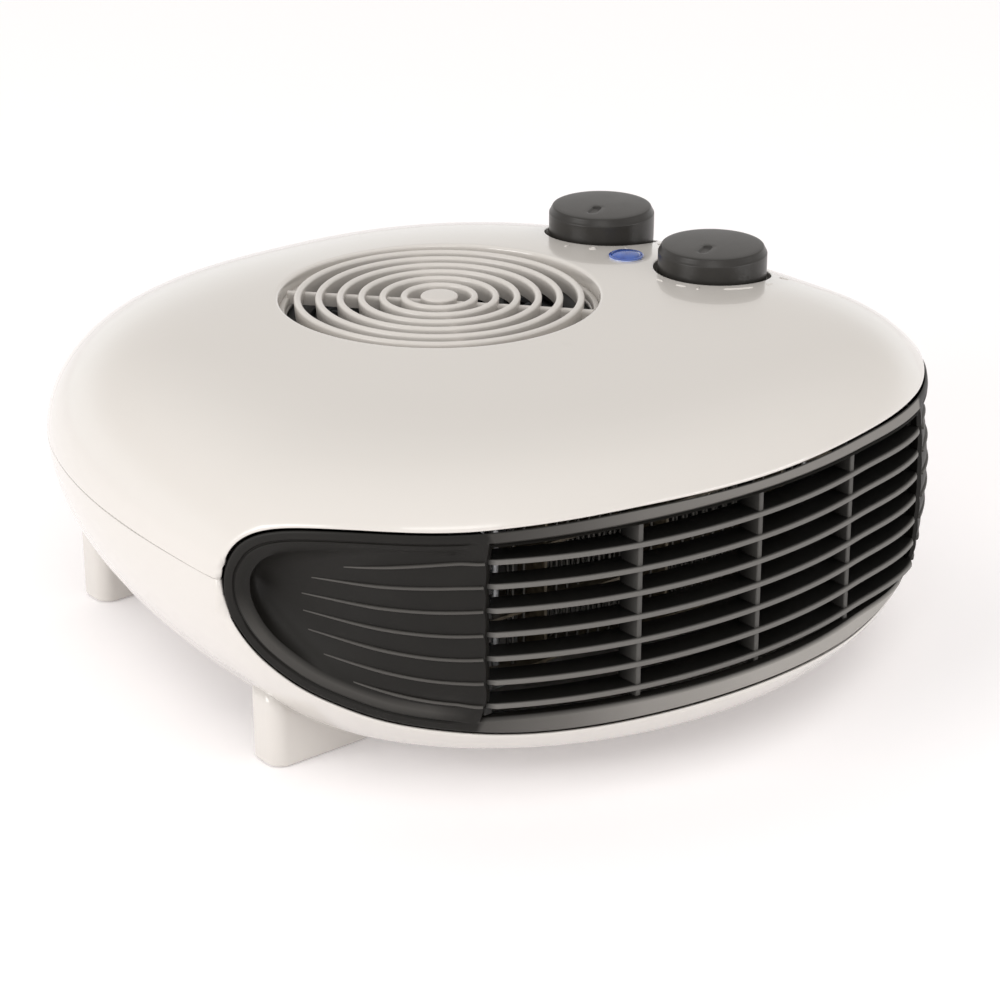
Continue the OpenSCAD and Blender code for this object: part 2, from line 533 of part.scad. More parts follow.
top_cover();
bottom_housing();
front_bezel();
outlet_grille();
inlet_grille();
selector_knob();
thermostat_knob();
pilot_lens();
pilot_lamp();
control_bracket();
control_screws();
selector_switch();
selector_spindle();
thermostat_body();
thermostat_blades();
thermostat_spindle();
air_duct();
motor_plate();
motor_screws();
stator_laminations();
stator_coil();
upper_bearing_bracket();
lower_bearing_bracket();
bearing_bushes();
stator_bolts();
motor_rotor();
motor_shaft();
impeller();
impeller_clip();
element_boards();
heating_wires();
element_brackets();
element_screws();
thermal_cutout();
thermal_fuse();
terminal_block();
terminal_screws();
terminal_fixing_screws();
cord_bushing();
cord_clamp();
clamp_screws();
housing_screws();
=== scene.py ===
import bpy, math
import numpy as np
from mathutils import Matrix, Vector, noise
from mathutils.geometry import delaunay_2d_cdt


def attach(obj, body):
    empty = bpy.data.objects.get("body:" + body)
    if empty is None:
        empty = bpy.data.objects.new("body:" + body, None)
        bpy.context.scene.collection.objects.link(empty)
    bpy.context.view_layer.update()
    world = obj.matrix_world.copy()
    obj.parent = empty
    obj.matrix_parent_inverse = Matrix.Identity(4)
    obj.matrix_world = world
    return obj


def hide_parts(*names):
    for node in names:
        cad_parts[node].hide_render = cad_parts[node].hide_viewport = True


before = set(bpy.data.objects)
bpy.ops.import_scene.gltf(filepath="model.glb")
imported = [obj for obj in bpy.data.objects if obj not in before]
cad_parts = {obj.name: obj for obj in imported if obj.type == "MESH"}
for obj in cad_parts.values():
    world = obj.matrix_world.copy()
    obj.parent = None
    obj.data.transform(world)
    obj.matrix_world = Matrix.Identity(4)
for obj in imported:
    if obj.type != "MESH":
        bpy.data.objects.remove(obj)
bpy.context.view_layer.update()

pi = math.pi
# ------------------------------------------------------------------ body form (mm)
A, RD, FT, FL, WY = 132.0, 175.6, 94.0, 102.4, -43.75
NF, NB, PZ, DH, DQ, DW = 2.02, 2.46, 65.4, 36.5, 7.1, 0.616
LH, LR, LW = 51.0, 0.784, 1.083
FY = 17.25


def rr(x, y, F):
    x = np.asarray(x, float); y = np.asarray(y, float)
    dy = y - WY
    n = np.where(dy < 0, NF, NB); b = np.where(dy < 0, F, RD)
    return (np.abs(x / A) ** n + np.abs(dy / b) ** n) ** (1 / n)


def ztop_r(r): return PZ + DH * np.maximum(0, 1 - np.minimum(r, 1) ** DQ) ** DW


def zlow_r(r):
    u = np.clip((1 - r) / (1 - LR), 0, 1)
    return PZ - LH * np.sqrt(np.maximum(0, 1 - (1 - u) ** LW))


def face_mid(x):
    x = np.abs(np.asarray(x, float)); d = np.maximum(0, x - 80)
    return -131.8 + 0.0035 * x * x + 8.5 * (d / 33) ** 2.4 / (1 + (d / 50) ** 8) ** 0.25


def spline(kx, ky):
    """Natural cubic spline through the knots."""
    kx = np.array(kx, float); ky = np.array(ky, float); n = len(kx); h = np.diff(kx)
    M = np.zeros((n, n)); R = np.zeros(n); M[0, 0] = M[-1, -1] = 1
    M[0, 0], M[0, 1] = 2, 1; R[0] = 3 * (ky[1] - ky[0]) / h[0] * 1.0
    D = None
    # slopes form, clamped to zero slope at the first knot
    M[0, :] = 0; M[0, 0] = 1; R[0] = 0
    for i in range(1, n - 1):
        M[i, i - 1] = h[i]; M[i, i] = 2 * (h[i - 1] + h[i]); M[i, i + 1] = h[i - 1]
        R[i] = 3 * (h[i] * (ky[i] - ky[i - 1]) / h[i - 1] + h[i - 1] * (ky[i + 1] - ky[i]) / h[i])
    M[-1, :] = 0; M[-1, -2] = 1; M[-1, -1] = 2; R[-1] = 3 * (ky[-1] - ky[-2]) / h[-1]
    D = np.linalg.solve(M, R)

    def f(x):
        x = np.clip(np.abs(np.asarray(x, float)), kx[0], kx[-1])
        i = np.clip(np.searchsorted(kx, x) - 1, 0, n - 2)
        t = (x - kx[i]) / h[i]
        return ((2 * t ** 3 - 3 * t ** 2 + 1) * ky[i] + (t ** 3 - 2 * t ** 2 + t) * h[i] * D[i]
                + (-2 * t ** 3 + 3 * t ** 2) * ky[i + 1] + (t ** 3 - t ** 2) * h[i] * D[i + 1])
    return f


XE = 131.30
_dt = spline([0, 45, 76, 90, 108, 118, 123, 127, 129.3, XE], [1.5, 0.4, -1.1, -1.1, -1.4, -0.9, 0.2, 0.7, 0.1, -1.35])
_db = spline([0, 40, 62, 80, 93, 104, 111, 117.5, 122, 125.5, 129, XE], [0, 0.6, 2.2, 4.3, 5.5, 5.3, 3.7, 2.2, 0.5, -0.6, -1.5, -1.5])


def _sm(t): t = np.clip(t, 0, 1); return t * t * (3 - 2 * t)


def bulge(x):
    """The right end of the front stands a little prouder than the left one."""
    x = np.asarray(x, float); return _sm((x - 42) / 40) * (1 - _sm((x - 106) / 20))


def y_t(x): return face_mid(x) + _dt(x)
def y_b(x): return face_mid(x) + _db(x) - 4.0 * bulge(x)
def z_t(x): return ztop_r(rr(x, y_t(x), FT))
def z_b(x): return zlow_r(rr(x, y_b(x), FL))


def y_face(x, z):
    a, b = z_b(x), z_t(x)
    w = np.clip((z - a) / np.maximum(b - a, 1e-6), 0, 1)
    g = 0.33 + 0.67 * (1 - _sm(w / 0.22)) - 0.33 * _sm((w - 0.78) / 0.22)
    return y_t(x) + (y_b(x) - y_t(x)) * g - 4.2 * bulge(x) * (4 * w * (1 - w)) ** 0.7


def louvre_y(x): return -129.75 + 0.0028065 * x * x + 7.735e-8 * x ** 4 - 4.6 * _sm((x - 42) / 40)


# ------------------------------------------------------------------ mesh helpers
def cdt(P, loops):
    e = []
    for idx, closed in loops:
        e += [(idx[i], idx[i + 1]) for i in range(len(idx) - 1)]
        if closed: e.append((idx[-1], idx[0]))
    co, _, fa, *_ = delaunay_2d_cdt([Vector((float(p[0]), float(p[1]))) for p in P], e, [], 0, 1e-4, False)
    return np.array([(c[0], c[1]) for c in co]), np.array([tuple(f) for f in fa])


def inside(P, poly):
    x, y = P[:, 0], P[:, 1]; c = np.zeros(len(P), bool); n = len(poly)
    for i in range(n):
        x1, y1 = poly[i - 1]; x2, y2 = poly[i]
        k = (y1 > y) != (y2 > y)
        if k.any():
            c[k] ^= x[k] < (x2 - x1) * (y[k] - y1) / (y2 - y1) + x1
    return c


def poly_dist(P, poly, closed=True):
    P = np.asarray(P, float); best = np.full(len(P), 1e9)
    n = len(poly)
    for i in range(n if closed else n - 1):
        a = poly[i]; b = poly[(i + 1) % n]; d = b - a; L = d @ d
        if L < 1e-12: continue
        t = np.clip(((P - a) @ d) / L, 0, 1)
        q = P - (a + t[:, None] * d)
        best = np.minimum(best, (q * q).sum(1))
    return np.sqrt(best)


def resample(pts, step, closed=False):
    pts = np.asarray(pts, float)
    if closed: pts = np.vstack([pts, pts[:1]])
    L = np.r_[0, np.cumsum(np.sqrt((np.diff(pts, axis=0) ** 2).sum(1)))]
    n = max(3, int(round(L[-1] / step)))
    s = np.linspace(0, L[-1], n + 1)
    if closed: s = s[:-1]
    return np.stack([np.interp(s, L, pts[:, k]) for k in range(pts.shape[1])], 1)


def vnormals(V, F):
    """Angle-weighted vertex normals."""
    V = np.asarray(V, float); N = np.zeros_like(V)
    T = np.array([(f[0], f[k], f[k + 1]) for f in F for k in range(1, len(f) - 1)])
    P = V[T]; nn = np.cross(P[:, 1] - P[:, 0], P[:, 2] - P[:, 0]); l = np.linalg.norm(nn, axis=1); nn /= np.maximum(l, 1e-12)[:, None]
    for k in range(3):
        a = P[:, k - 1] - P[:, k]; b = P[:, (k + 1) % 3] - P[:, k]
        d = np.maximum(np.linalg.norm(a, axis=1) * np.linalg.norm(b, axis=1), 1e-12)
        w = np.arccos(np.clip((a * b).sum(1) / d, -1, 1)) * (l > 1e-9)
        np.add.at(N, T[:, k], nn * w[:, None])
    return N / np.maximum(1e-9, np.linalg.norm(N, axis=1))[:, None]


def thicken(V, F, t, N=None):
    """Closed skin from a sheet: the other side is t behind it."""
    V = np.asarray(V, float)
    if N is None: N = vnormals(V, F)
    n = len(V); W = V - N * t
    he = {}
    for f in F:
        for i in range(len(f)):
            he[(f[i], f[(i + 1) % len(f)])] = 1
    out = [tuple(f) for f in F] + [tuple(n + i for i in reversed(f)) for f in F]
    for (a, b) in he:
        if (b, a) not in he: out.append((b, a, n + a, n + b))
    return np.vstack([V, W]), out


def join(parts):
    V, F, o = [], [], 0
    for v, f in parts:
        V.append(np.asarray(v, float)); F += [tuple(int(i) + o for i in k) for k in f]; o += len(v)
    return np.vstack(V), F


def lathe(prof, n, cx=0, cy=0, closed=True, a0=0.0):
    """Revolves (r, z) points about the vertical through cx, cy. The profile runs anticlockwise in (r, z)."""
    m = len(prof); V = []; F = []; ids = []
    for r, z in prof:
        if r < 1e-6:
            ids.append([len(V)] * n); V.append((cx, cy, z))
        else:
            ids.append(list(range(len(V), len(V) + n)))
            V += [(cx + r * math.cos(a0 + 2 * pi * k / n), cy + r * math.sin(a0 + 2 * pi * k / n), z) for k in range(n)]
    for i in range(m if closed else m - 1):
        a, b = ids[i], ids[(i + 1) % m]
        if a[0] == a[-1] and b[0] == b[-1]: continue
        for k in range(n):
            q = (a[k], a[(k + 1) % n], b[(k + 1) % n], b[k])
            q = tuple(dict.fromkeys(q))
            if len(q) >= 3: F.append(q)
    return np.array(V), F


def arc(cx, cz, r, a0, a1, n):
    return [(cx + r * math.cos(math.radians(a0 + (a1 - a0) * i / n)), cz + r * math.sin(math.radians(a0 + (a1 - a0) * i / n))) for i in range(n + 1)]


def loft(rings, cap=True):
    """Closed skin through rings of equal length; rings run anticlockwise seen from the end they rise to."""
    m, n = len(rings), len(rings[0]); V = np.vstack([np.asarray(r, float) for r in rings]); F = []
    for k in range(m - 1):
        for i in range(n):
            j = (i + 1) % n
            F.append((k * n + i, k * n + j, (k + 1) * n + j, (k + 1) * n + i))
    if cap:
        c0 = len(V); V = np.vstack([V, V[:n].mean(0), V[(m - 1) * n:(m - 1) * n + n].mean(0)])
        for i in range(n):
            j = (i + 1) % n
            F.append((c0, j, i)); F.append((c0 + 1, (m - 1) * n + i, (m - 1) * n + j))
    return V, F


def rbox(x0, x1, y0, y1, z0, z1, c=0.3):
    """Box with chamfered edges."""
    P = [(-1, -1), (1, -1), (1, 1), (-1, 1)]
    cx, cy, hx, hy = (x0 + x1) / 2, (y0 + y1) / 2, (x1 - x0) / 2, (y1 - y0) / 2

    def ring(ins, z):
        out = []
        for sx, sy in P:
            k = [(sx * (hx - ins), sy * (hy - ins - c)), (sx * (hx - ins - c), sy * (hy - ins))]
            if sx * sy < 0: k = k[::-1]
            if (sx, sy) in ((-1, -1), (1, 1)): pass
            out += [(cx + p[0], cy + p[1], z) for p in k]
        return out
    r = ring(0, 0)
    ang = [math.atan2(p[1] - cy, p[0] - cx) for p in r]
    order = sorted(range(8), key=lambda i: ang[i])
    R = lambda ins, z: [ring(ins, z)[i] for i in order]
    return loft([R(c, z0), R(0, z0 + c), R(0, z1 - c), R(c, z1)])


# ------------------------------------------------------------------ materials
def material(name, base, rough, metal=0.0, var=0.04, var_scale=30.0, bump=0.0, bump_scale=900.0, rough_var=0.05,
             coat=0.0, coat_rough=0.05, spec=0.5, stretch=None, detail=6.0, bump_dist=0.0002, alpha=None,
             transmission=0.0, ior=1.5, sheen=0.0, second=None, speck=0.0, speck_scale=2500.0, speck_col=(0.2, 0.2, 0.2), light_tone_and_highlight_col=None):
    m = bpy.data.materials.new(name); m.use_nodes = True
    nt = m.node_tree; b = nt.nodes["Principled BSDF"]; L = nt.links.new
    tc = nt.nodes.new("ShaderNodeTexCoord"); mp = nt.nodes.new("ShaderNodeMapping")
    if stretch: mp.inputs["Scale"].default_value = stretch
    L(tc.outputs["Object"], mp.inputs["Vector"])
    n1 = nt.nodes.new("ShaderNodeTexNoise"); n1.inputs["Scale"].default_value = var_scale; n1.inputs["Detail"].default_value = detail
    L(mp.outputs["Vector"], n1.inputs["Vector"])
    mix = nt.nodes.new("ShaderNodeMix"); mix.data_type = "RGBA"
    c0 = [max(0, c * (1 - var)) for c in base[:3]] + [1]
    c1 = [min(1, c * (1 + var)) for c in (second or base)[:3]] + [1]
    mix.inputs["A"].default_value = c0; mix.inputs["B"].default_value = c1
    rp = nt.nodes.new("ShaderNodeMapRange"); rp.inputs["From Min"].default_value = 0.3; rp.inputs["From Max"].default_value = 0.7
    L(n1.outputs["Fac"], rp.inputs["Value"]); L(rp.outputs["Result"], mix.inputs["Factor"])
    colour = mix.outputs["Result"]
    if speck:
        n3 = nt.nodes.new("ShaderNodeTexNoise"); n3.inputs["Scale"].default_value = speck_scale; n3.inputs["Detail"].default_value = 2
        L(mp.outputs["Vector"], n3.inputs["Vector"])
        r3 = nt.nodes.new("ShaderNodeMapRange"); r3.inputs["From Min"].default_value = 0.58; r3.inputs["From Max"].default_value = 0.72
        r3.inputs["To Max"].default_value = speck
        L(n3.outputs["Fac"], r3.inputs["Value"])
        m3 = nt.nodes.new("ShaderNodeMix"); m3.data_type = "RGBA"; m3.inputs["B"].default_value = list(speck_col) + [1]
        L(r3.outputs["Result"], m3.inputs["Factor"]); L(colour, m3.inputs["A"]); colour = m3.outputs["Result"]
    # lighter colour mixed in by the mesh attribute "edge": painted highlight on louvre front edges and on the panel's
    # raised lines and bevel, a lighter tone on the bezel strips with painted shade towards their left end
    if light_tone_and_highlight_col:
        ea = nt.nodes.new("ShaderNodeAttribute"); ea.attribute_name = "edge"
        m4 = nt.nodes.new("ShaderNodeMix"); m4.data_type = "RGBA"; m4.inputs["B"].default_value = list(light_tone_and_highlight_col) + [1]
        L(ea.outputs["Fac"], m4.inputs["Factor"]); L(colour, m4.inputs["A"]); colour = m4.outputs["Result"]
    L(colour, b.inputs["Base Color"])
    r2 = nt.nodes.new("ShaderNodeMapRange"); r2.inputs["To Min"].default_value = max(0.02, rough - rough_var); r2.inputs["To Max"].default_value = min(1, rough + rough_var)
    L(n1.outputs["Fac"], r2.inputs["Value"]); L(r2.outputs["Result"], b.inputs["Roughness"])
    b.inputs["Metallic"].default_value = metal
    b.inputs["Specular IOR Level"].default_value = spec; b.inputs["IOR"].default_value = ior
    b.inputs["Coat Weight"].default_value = coat; b.inputs["Coat Roughness"].default_value = coat_rough
    b.inputs["Transmission Weight"].default_value = transmission
    b.inputs["Sheen Weight"].default_value = sheen
    if bump:
        n2 = nt.nodes.new("ShaderNodeTexNoise"); n2.inputs["Scale"].default_value = bump_scale; n2.inputs["Detail"].default_value = 3
        L(mp.outputs["Vector"], n2.inputs["Vector"])
        bp = nt.nodes.new("ShaderNodeBump"); bp.inputs["Strength"].default_value = bump; bp.inputs["Distance"].default_value = bump_dist
        L(n2.outputs["Fac"], bp.inputs["Height"]); L(bp.outputs["Normal"], b.inputs["Normal"])
    return m


M = {
    "white": material("white_gloss", (0.625, 0.597, 0.564), 0.20, var=0.006, var_scale=14, rough_var=0.03, coat=0.7, coat_rough=0.02,
                      bump=0.03, bump_scale=260, bump_dist=0.00004),
    "grille_white": material("white_satin", (0.60, 0.572, 0.54), 0.34, var=0.010, var_scale=40, rough_var=0.05, coat=0.2, coat_rough=0.2,
                             bump=0.05, bump_scale=900, bump_dist=0.00005),
    # the second colour of these two materials is painted highlight (louvre front edges, panel raised lines and bevel)
    # and a lighter tone on the bezel strips
    "black": material("black_matte", (0.0088, 0.0080, 0.0068), 0.46, var=0.10, var_scale=120, rough_var=0.05, bump=0.30, bump_scale=3200,
                      bump_dist=0.00005, spec=0.20, speck=0.10, speck_scale=5200, speck_col=(0.05, 0.049, 0.046), light_tone_and_highlight_col=(0.33, 0.315, 0.295)),
    "louvre": material("black_grained", (0.0090, 0.0085, 0.0078), 0.48, var=0.16, var_scale=700, rough_var=0.07, bump=0.5, bump_scale=2600,
                       bump_dist=0.00008, spec=0.25, speck=0.25, speck_scale=3600, speck_col=(0.06, 0.058, 0.055), light_tone_and_highlight_col=(0.135, 0.130, 0.122)),
    "knob": material("knob_grey", (0.025, 0.0232, 0.0212), 0.33, var=0.06, var_scale=160, rough_var=0.05, bump=0.22, bump_scale=3600, bump_dist=0.00005,
                     spec=0.34, speck=0.08, speck_scale=5200, speck_col=(0.07, 0.068, 0.064)),
    "lens": material("lens_blue", (0.030, 0.085, 0.40), 0.12, var=0.10, var_scale=260, rough_var=0.03, coat=0.7, coat_rough=0.03, transmission=0.25,
                     bump=0.1, bump_scale=700, bump_dist=0.00008, second=(0.045, 0.14, 0.54)),
    # painted highlight: a lighter blue copy of the lens colour for the lens rim
    "lens_rim_painted_highlight": material("lens_rim_painted_highlight", (0.42, 0.50, 0.78), 0.15, var=0.05, var_scale=260, coat=0.5),
    "zinc": material("zinc_steel", (0.60, 0.61, 0.62), 0.32, metal=1, var=0.10, var_scale=300, bump=0.15, bump_scale=1500, bump_dist=0.00004),
    "screw": material("screw_steel", (0.42, 0.43, 0.44), 0.36, metal=1, var=0.15, var_scale=500, bump=0.15, bump_scale=2500, bump_dist=0.00004),
    "lamination": material("lamination_steel", (0.33, 0.34, 0.36), 0.42, metal=1, var=0.18, var_scale=120, stretch=(1, 1, 22), bump=0.5, bump_scale=90, bump_dist=0.0002),
    "aluminium": material("cast_aluminium", (0.60, 0.61, 0.62), 0.48, metal=1, var=0.10, var_scale=400, bump=0.35, bump_scale=1800, bump_dist=0.00008),
    "bronze": material("bush_bronze", (0.44, 0.27, 0.11), 0.38, metal=1, var=0.15, var_scale=900, bump=0.2, bump_scale=2600, bump_dist=0.00004),
    "brass": material("contact_brass", (0.62, 0.44, 0.18), 0.28, metal=1, var=0.10, var_scale=400, bump=0.1, bump_scale=1500, bump_dist=0.00004),
    "copper": material("copper_winding", (0.36, 0.10, 0.035), 0.36, var=0.22, var_scale=60, stretch=(1, 1, 30), coat=0.4, coat_rough=0.2, bump=0.6, bump_scale=60, bump_dist=0.0002),
    "phenolic": material("black_phenolic", (0.020, 0.019, 0.018), 0.30, var=0.15, var_scale=250, bump=0.1, bump_scale=1200, bump_dist=0.00005),
    "ceramic": material("ceramic_cream", (0.70, 0.64, 0.53), 0.50, var=0.06, var_scale=220, bump=0.25, bump_scale=1800, bump_dist=0.00008),
    # painted shade: the mica boards and heating wire are coloured darker than their own tone, so the inside behind the
    # louvres reads dark with only faint glints
    "mica": material("mica_board", (0.075, 0.060, 0.038), 0.44, var=0.25, var_scale=500, bump=0.2, bump_scale=900, bump_dist=0.00006, second=(0.13, 0.105, 0.07), coat=0.1),
    "wire": material("heating_wire", (0.13, 0.125, 0.115), 0.5, metal=1, var=0.15, var_scale=900, bump=0.1, bump_scale=2500, bump_dist=0.00003),
    "fan": material("impeller_grey", (0.080, 0.082, 0.085), 0.42, var=0.08, var_scale=120, bump=0.1, bump_scale=1500, bump_dist=0.00005),
    "duct": material("duct_black", (0.020, 0.020, 0.020), 0.55, var=0.15, var_scale=140, bump=0.3, bump_scale=1500, bump_dist=0.00008),
    "glassy": material("lamp_glass", (0.75, 0.40, 0.24), 0.08, var=0.10, var_scale=300, transmission=0.8, coat=0.5),
    "floor": material("studio_floor", (0.94, 0.925, 0.935), 0.65, var=0.004, var_scale=3, rough_var=0.02, spec=0.1),
}
_b = M["floor"].node_tree.nodes["Principled BSDF"]
_b.inputs["Emission Color"].default_value = (1.0, 0.97, 0.98, 1); _b.inputs["Emission Strength"].default_value = 0.13


def piece(name, VF, nodes, mat, body="housing", sharp=32, normals=None, edge=None):
    V, F = VF
    me = bpy.data.meshes.new(name)
    me.from_pydata([tuple(v) for v in (np.asarray(V) * 0.001)], [], [tuple(int(i) for i in f) for f in F])
    me.update()
    for p in me.polygons: p.use_smooth = True
    me.set_sharp_from_angle(angle=math.radians(sharp))
    if normals is not None:
        me.normals_split_custom_set_from_vertices([tuple(n) for n in normals])
    if edge is not None:
        at = me.attributes.new("edge", "FLOAT", "POINT"); at.data.foreach_set("value", np.asarray(edge, np.float32))
    ob = bpy.data.objects.new(name, me); bpy.context.scene.collection.objects.link(ob)
    me.materials.append(M[mat])
    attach(ob, body)
    if nodes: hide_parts(*nodes)
    return ob


# ------------------------------------------------------------------ skin over a plan domain
class Skin:
    """A shell surface over its plan, stretched so that points stay even along the steep rim."""

    def __init__(s, F, zf, edge, up):
        s.F, s.edge, s.up = F, edge, up
        t = np.linspace(0, 1, 6000); r = 1 - (1 - t) ** 2.6
        z = zf(r); ds = np.sqrt(np.diff(r) ** 2 + (np.diff(z) / A) ** 2)
        s.r, s.z, s.T = r, z, np.r_[0, np.cumsum(ds)]
        s.zf = zf

    def to_uv(s, x, y):
        r = rr(x, y, s.F); k = np.interp(r, s.r, s.T) / np.maximum(r, 1e-9)
        return np.stack([x * k, WY + (y - WY) * k], 1)

    def at(s, P):
        rho = rr(P[:, 0], P[:, 1], s.F); rho = np.minimum(rho, s.T[-1])
        r = np.interp(rho, s.T, s.r); z = np.interp(rho, s.T, s.z)
        k = r / np.maximum(rho, 1e-9)
        x = P[:, 0] * k; dy = (P[:, 1] - WY) * k
        # normal from the profile slope and the plan gradient
        e = 1e-5
        r1 = np.clip(r - e, 0, 1); r2 = np.clip(r + e, 0, 1 - 1e-9); slope = (s.zf(r2) - s.zf(r1)) / np.maximum(r2 - r1, 1e-12)
        n = np.where(dy < 0, NF, NB); b = np.where(dy < 0, s.F, RD); rs = np.maximum(r, 1e-3)
        gx = np.sign(x) * np.abs(x / A) ** (n - 1) / A / rs ** (n - 1)
        gy = np.sign(dy) * np.abs(dy / b) ** (n - 1) / b / rs ** (n - 1)
        N = np.stack([-slope * gx, -slope * gy, np.ones_like(r)], 1)
        if not s.up: N = -N
        N /= np.linalg.norm(N, axis=1)[:, None]
        return np.stack([x, dy + WY, z], 1), N, rho


def superellipse(F, a):
    c, sn = math.cos(a), math.sin(a); n = NF if sn < 0 else NB; b = F if sn < 0 else RD
    return (A * math.copysign(abs(c) ** (2 / n), c), WY + b * math.copysign(abs(sn) ** (2 / n), sn))


def build_skin(F, zf, yedge, up, holes, rf_edge, rf_rim, grid, shapes=(), wall=2.0, bend=None):
    """holes: (cx, cy, R, fillet, wall_to_z or None, floor_r or None)."""
    sk = Skin(F, zf, yedge, up)
    # plan points: front edge left to right, then the rim back round
    xs = np.linspace(-1, 1, 401); xs = np.sign(xs) * (1 - (1 - np.abs(xs)) ** 1.7) * XE
    fr = np.stack([xs, yedge(xs)], 1)
    a0 = math.atan2(-0.02, 1)
    tip = fr[-1]
    ang = np.linspace(-0.6, pi + 0.6, 6001)
    rim = np.array([superellipse(F, a) for a in ang])
    i0 = np.argmin(np.abs(rim[:3000, 1] - tip[1]) + (rim[:3000, 0] < 0) * 1e3)
    rim = rim[(rim[:, 1] > tip[1] + 0.4)]
    fr_uv = resample(sk.to_uv(fr[:, 0], fr[:, 1]), 1.7)
    rim_uv = resample(sk.to_uv(rim[:, 0], rim[:, 1]), 2.6)
    TM = sk.T[-1]
    rho = rr(rim_uv[:, 0], rim_uv[:, 1], F); rim_uv = np.stack([rim_uv[:, 0] * TM / rho, WY + (rim_uv[:, 1] - WY) * TM / rho], 1)
    P = []; loops = []

    def add(pts, closed=None):
        i = sum(len(p) for p in P); P.append(np.asarray(pts, float))
        if closed is not None: loops.append((list(range(i, i + len(pts))), closed))
    border = np.vstack([fr_uv, rim_uv])
    add(border, True)
    tanf = lambda x: np.sqrt(1 + ((yedge(x + .5) - yedge(x - .5))) ** 2)
    for d in [rf_edge * 0.076, rf_edge * 0.293, rf_edge * 0.617, rf_edge, rf_edge * 1.7, rf_edge * 3.2, rf_edge * 5.5]:
        q = fr[::1].copy(); q[:, 1] = yedge(q[:, 0]) + d * tanf(q[:, 0])
        ok = rr(q[:, 0], q[:, 1], F) < 0.99; q = q[ok]
        u = resample(sk.to_uv(q[:, 0], q[:, 1]), 1.9 if d < 2 else 2.8)
        rh = rr(u[:, 0], u[:, 1], F); R = np.hypot(u[:, 0], u[:, 1] - WY) / rh
        u = u[(TM - rh) * R > rf_rim * 6.5]
        add(u, False if d <= rf_edge else None)
    for d in [0.076 * rf_rim, 0.293 * rf_rim, 0.617 * rf_rim, rf_rim, rf_rim * 2.2, rf_rim * 4.5, rf_rim * 9]:
        rh = rr(rim_uv[:, 0], rim_uv[:, 1], F); R = np.hypot(rim_uv[:, 0], rim_uv[:, 1] - WY) / rh
        k = (TM - d / R) / rh
        u = np.stack([rim_uv[:, 0] * k, WY + (rim_uv[:, 1] - WY) * k], 1)
        X, _, _ = sk.at(u)
        u = u[(X[:, 1] - yedge(X[:, 0])) / tanf(X[:, 0]) > 0.25]
        add(u)
    cut = []
    for (cx, cy, R, rf, wz, fl) in holes:
        for d in ([0, 0.076 * rf, 0.293 * rf, 0.617 * rf, rf, rf * 1.8, rf * 3.4, rf * 6] if rf else [0, 1.2]):
            n = int(max(24, round(2 * pi * (R + d) / (1.6 if R < 30 else 2.2))))
            if d <= rf: n = int(max(24, round(2 * pi * R / (1.6 if R < 30 else 2.2))))
            a = np.arange(n) * 2 * pi / n
            x, y = cx + (R + d) * np.cos(a), cy + (R + d) * np.sin(a)
            add(sk.to_uv(x, y), True if d <= rf else None)
            if d == 0: cut.append(sk.to_uv(x, y))
    for poly in shapes:
        u = sk.to_uv(poly[:, 0], poly[:, 1]); add(u, True); cut.append(u)
    # rings of constant height, closer together where the form bends
    g = []; TG = TM - rf_rim * 9 / 140 - grid * 0.8 / 140; k_ = 0
    base_a = np.linspace(0, 2 * pi, 721)[:-1]
    unit = np.array([superellipse(F, a) for a in base_a]) - [0, WY]
    T_ = TG
    while T_ > 0.01:
        r_ = float(np.interp(T_, sk.T, sk.r)); fine = bend[2] if bend and bend[0] < r_ < bend[1] else grid
        q = resample(unit * T_, fine * (1.25 if fine < grid else 1.0), closed=True)
        if k_ % 2: q = (q + np.roll(q, -1, 0)) / 2
        g.append(q + [0, WY]); T_ -= fine * 0.86 / 140; k_ += 1
    g.append(np.array([[0, WY]])); g = np.vstack(g)
    X, _, _ = sk.at(g)
    ok = (X[:, 1] - yedge(X[:, 0])) / tanf(X[:, 0]) > rf_edge * 5.5 + grid * (0.25 if bend else 0.6)
    for (cx, cy, R_, rf, *_r) in holes: ok &= np.hypot(X[:, 0] - cx, X[:, 1] - cy) > R_ + (rf * 6 if rf else 1.2) + grid * 0.55
    g = g[ok]
    if len(shapes):
        gi = np.ones(len(g), bool)
        for c in cut[-len(shapes):]: gi &= (poly_dist(g, c) > grid * 0.5)
        g = g[gi]
    add(g)
    P = np.vstack(P)
    co, fa = cdt(P, loops)
    c = co[fa].mean(1)
    keep = inside(c, border)
    for u in cut: keep &= ~inside(c, u)
    fa = fa[keep]
    X, N, rh = sk.at(co)
    R = np.hypot(co[:, 0], co[:, 1] - WY) / np.maximum(rh, 1e-6)
    drop = np.zeros(len(co)); analytic = np.ones(len(co), bool)

    def fil(d, rf):
        nonlocal drop, analytic
        if not rf: return
        d = np.maximum(d, 0); m = d < rf * 0.999
        drop[m] += rf - np.sqrt(np.maximum(0, rf * rf - (rf - d[m]) ** 2)); analytic &= ~(d < rf * 1.02)
    fil((X[:, 1] - yedge(X[:, 0])) / tanf(X[:, 0]), rf_edge)
    fil((TM - rh) * R, rf_rim)
    for (cx, cy, R_, rf, *_r) in holes: fil(np.hypot(X[:, 0] - cx, X[:, 1] - cy) - R_, rf)
    V = X - N * drop[:, None]
    used = np.unique(fa); mp = -np.ones(len(co), int); mp[used] = np.arange(len(used))
    V = V[used]; N = N[used]; analytic = analytic[used]; XY = X[used]
    Fc = [tuple(int(i) for i in mp[f]) for f in fa]
    if not up: Fc = [tuple(reversed(f)) for f in Fc]
    V = list(map(tuple, V)); NN = [tuple(n) if a else (0, 0, 0) for n, a in zip(N, analytic)]
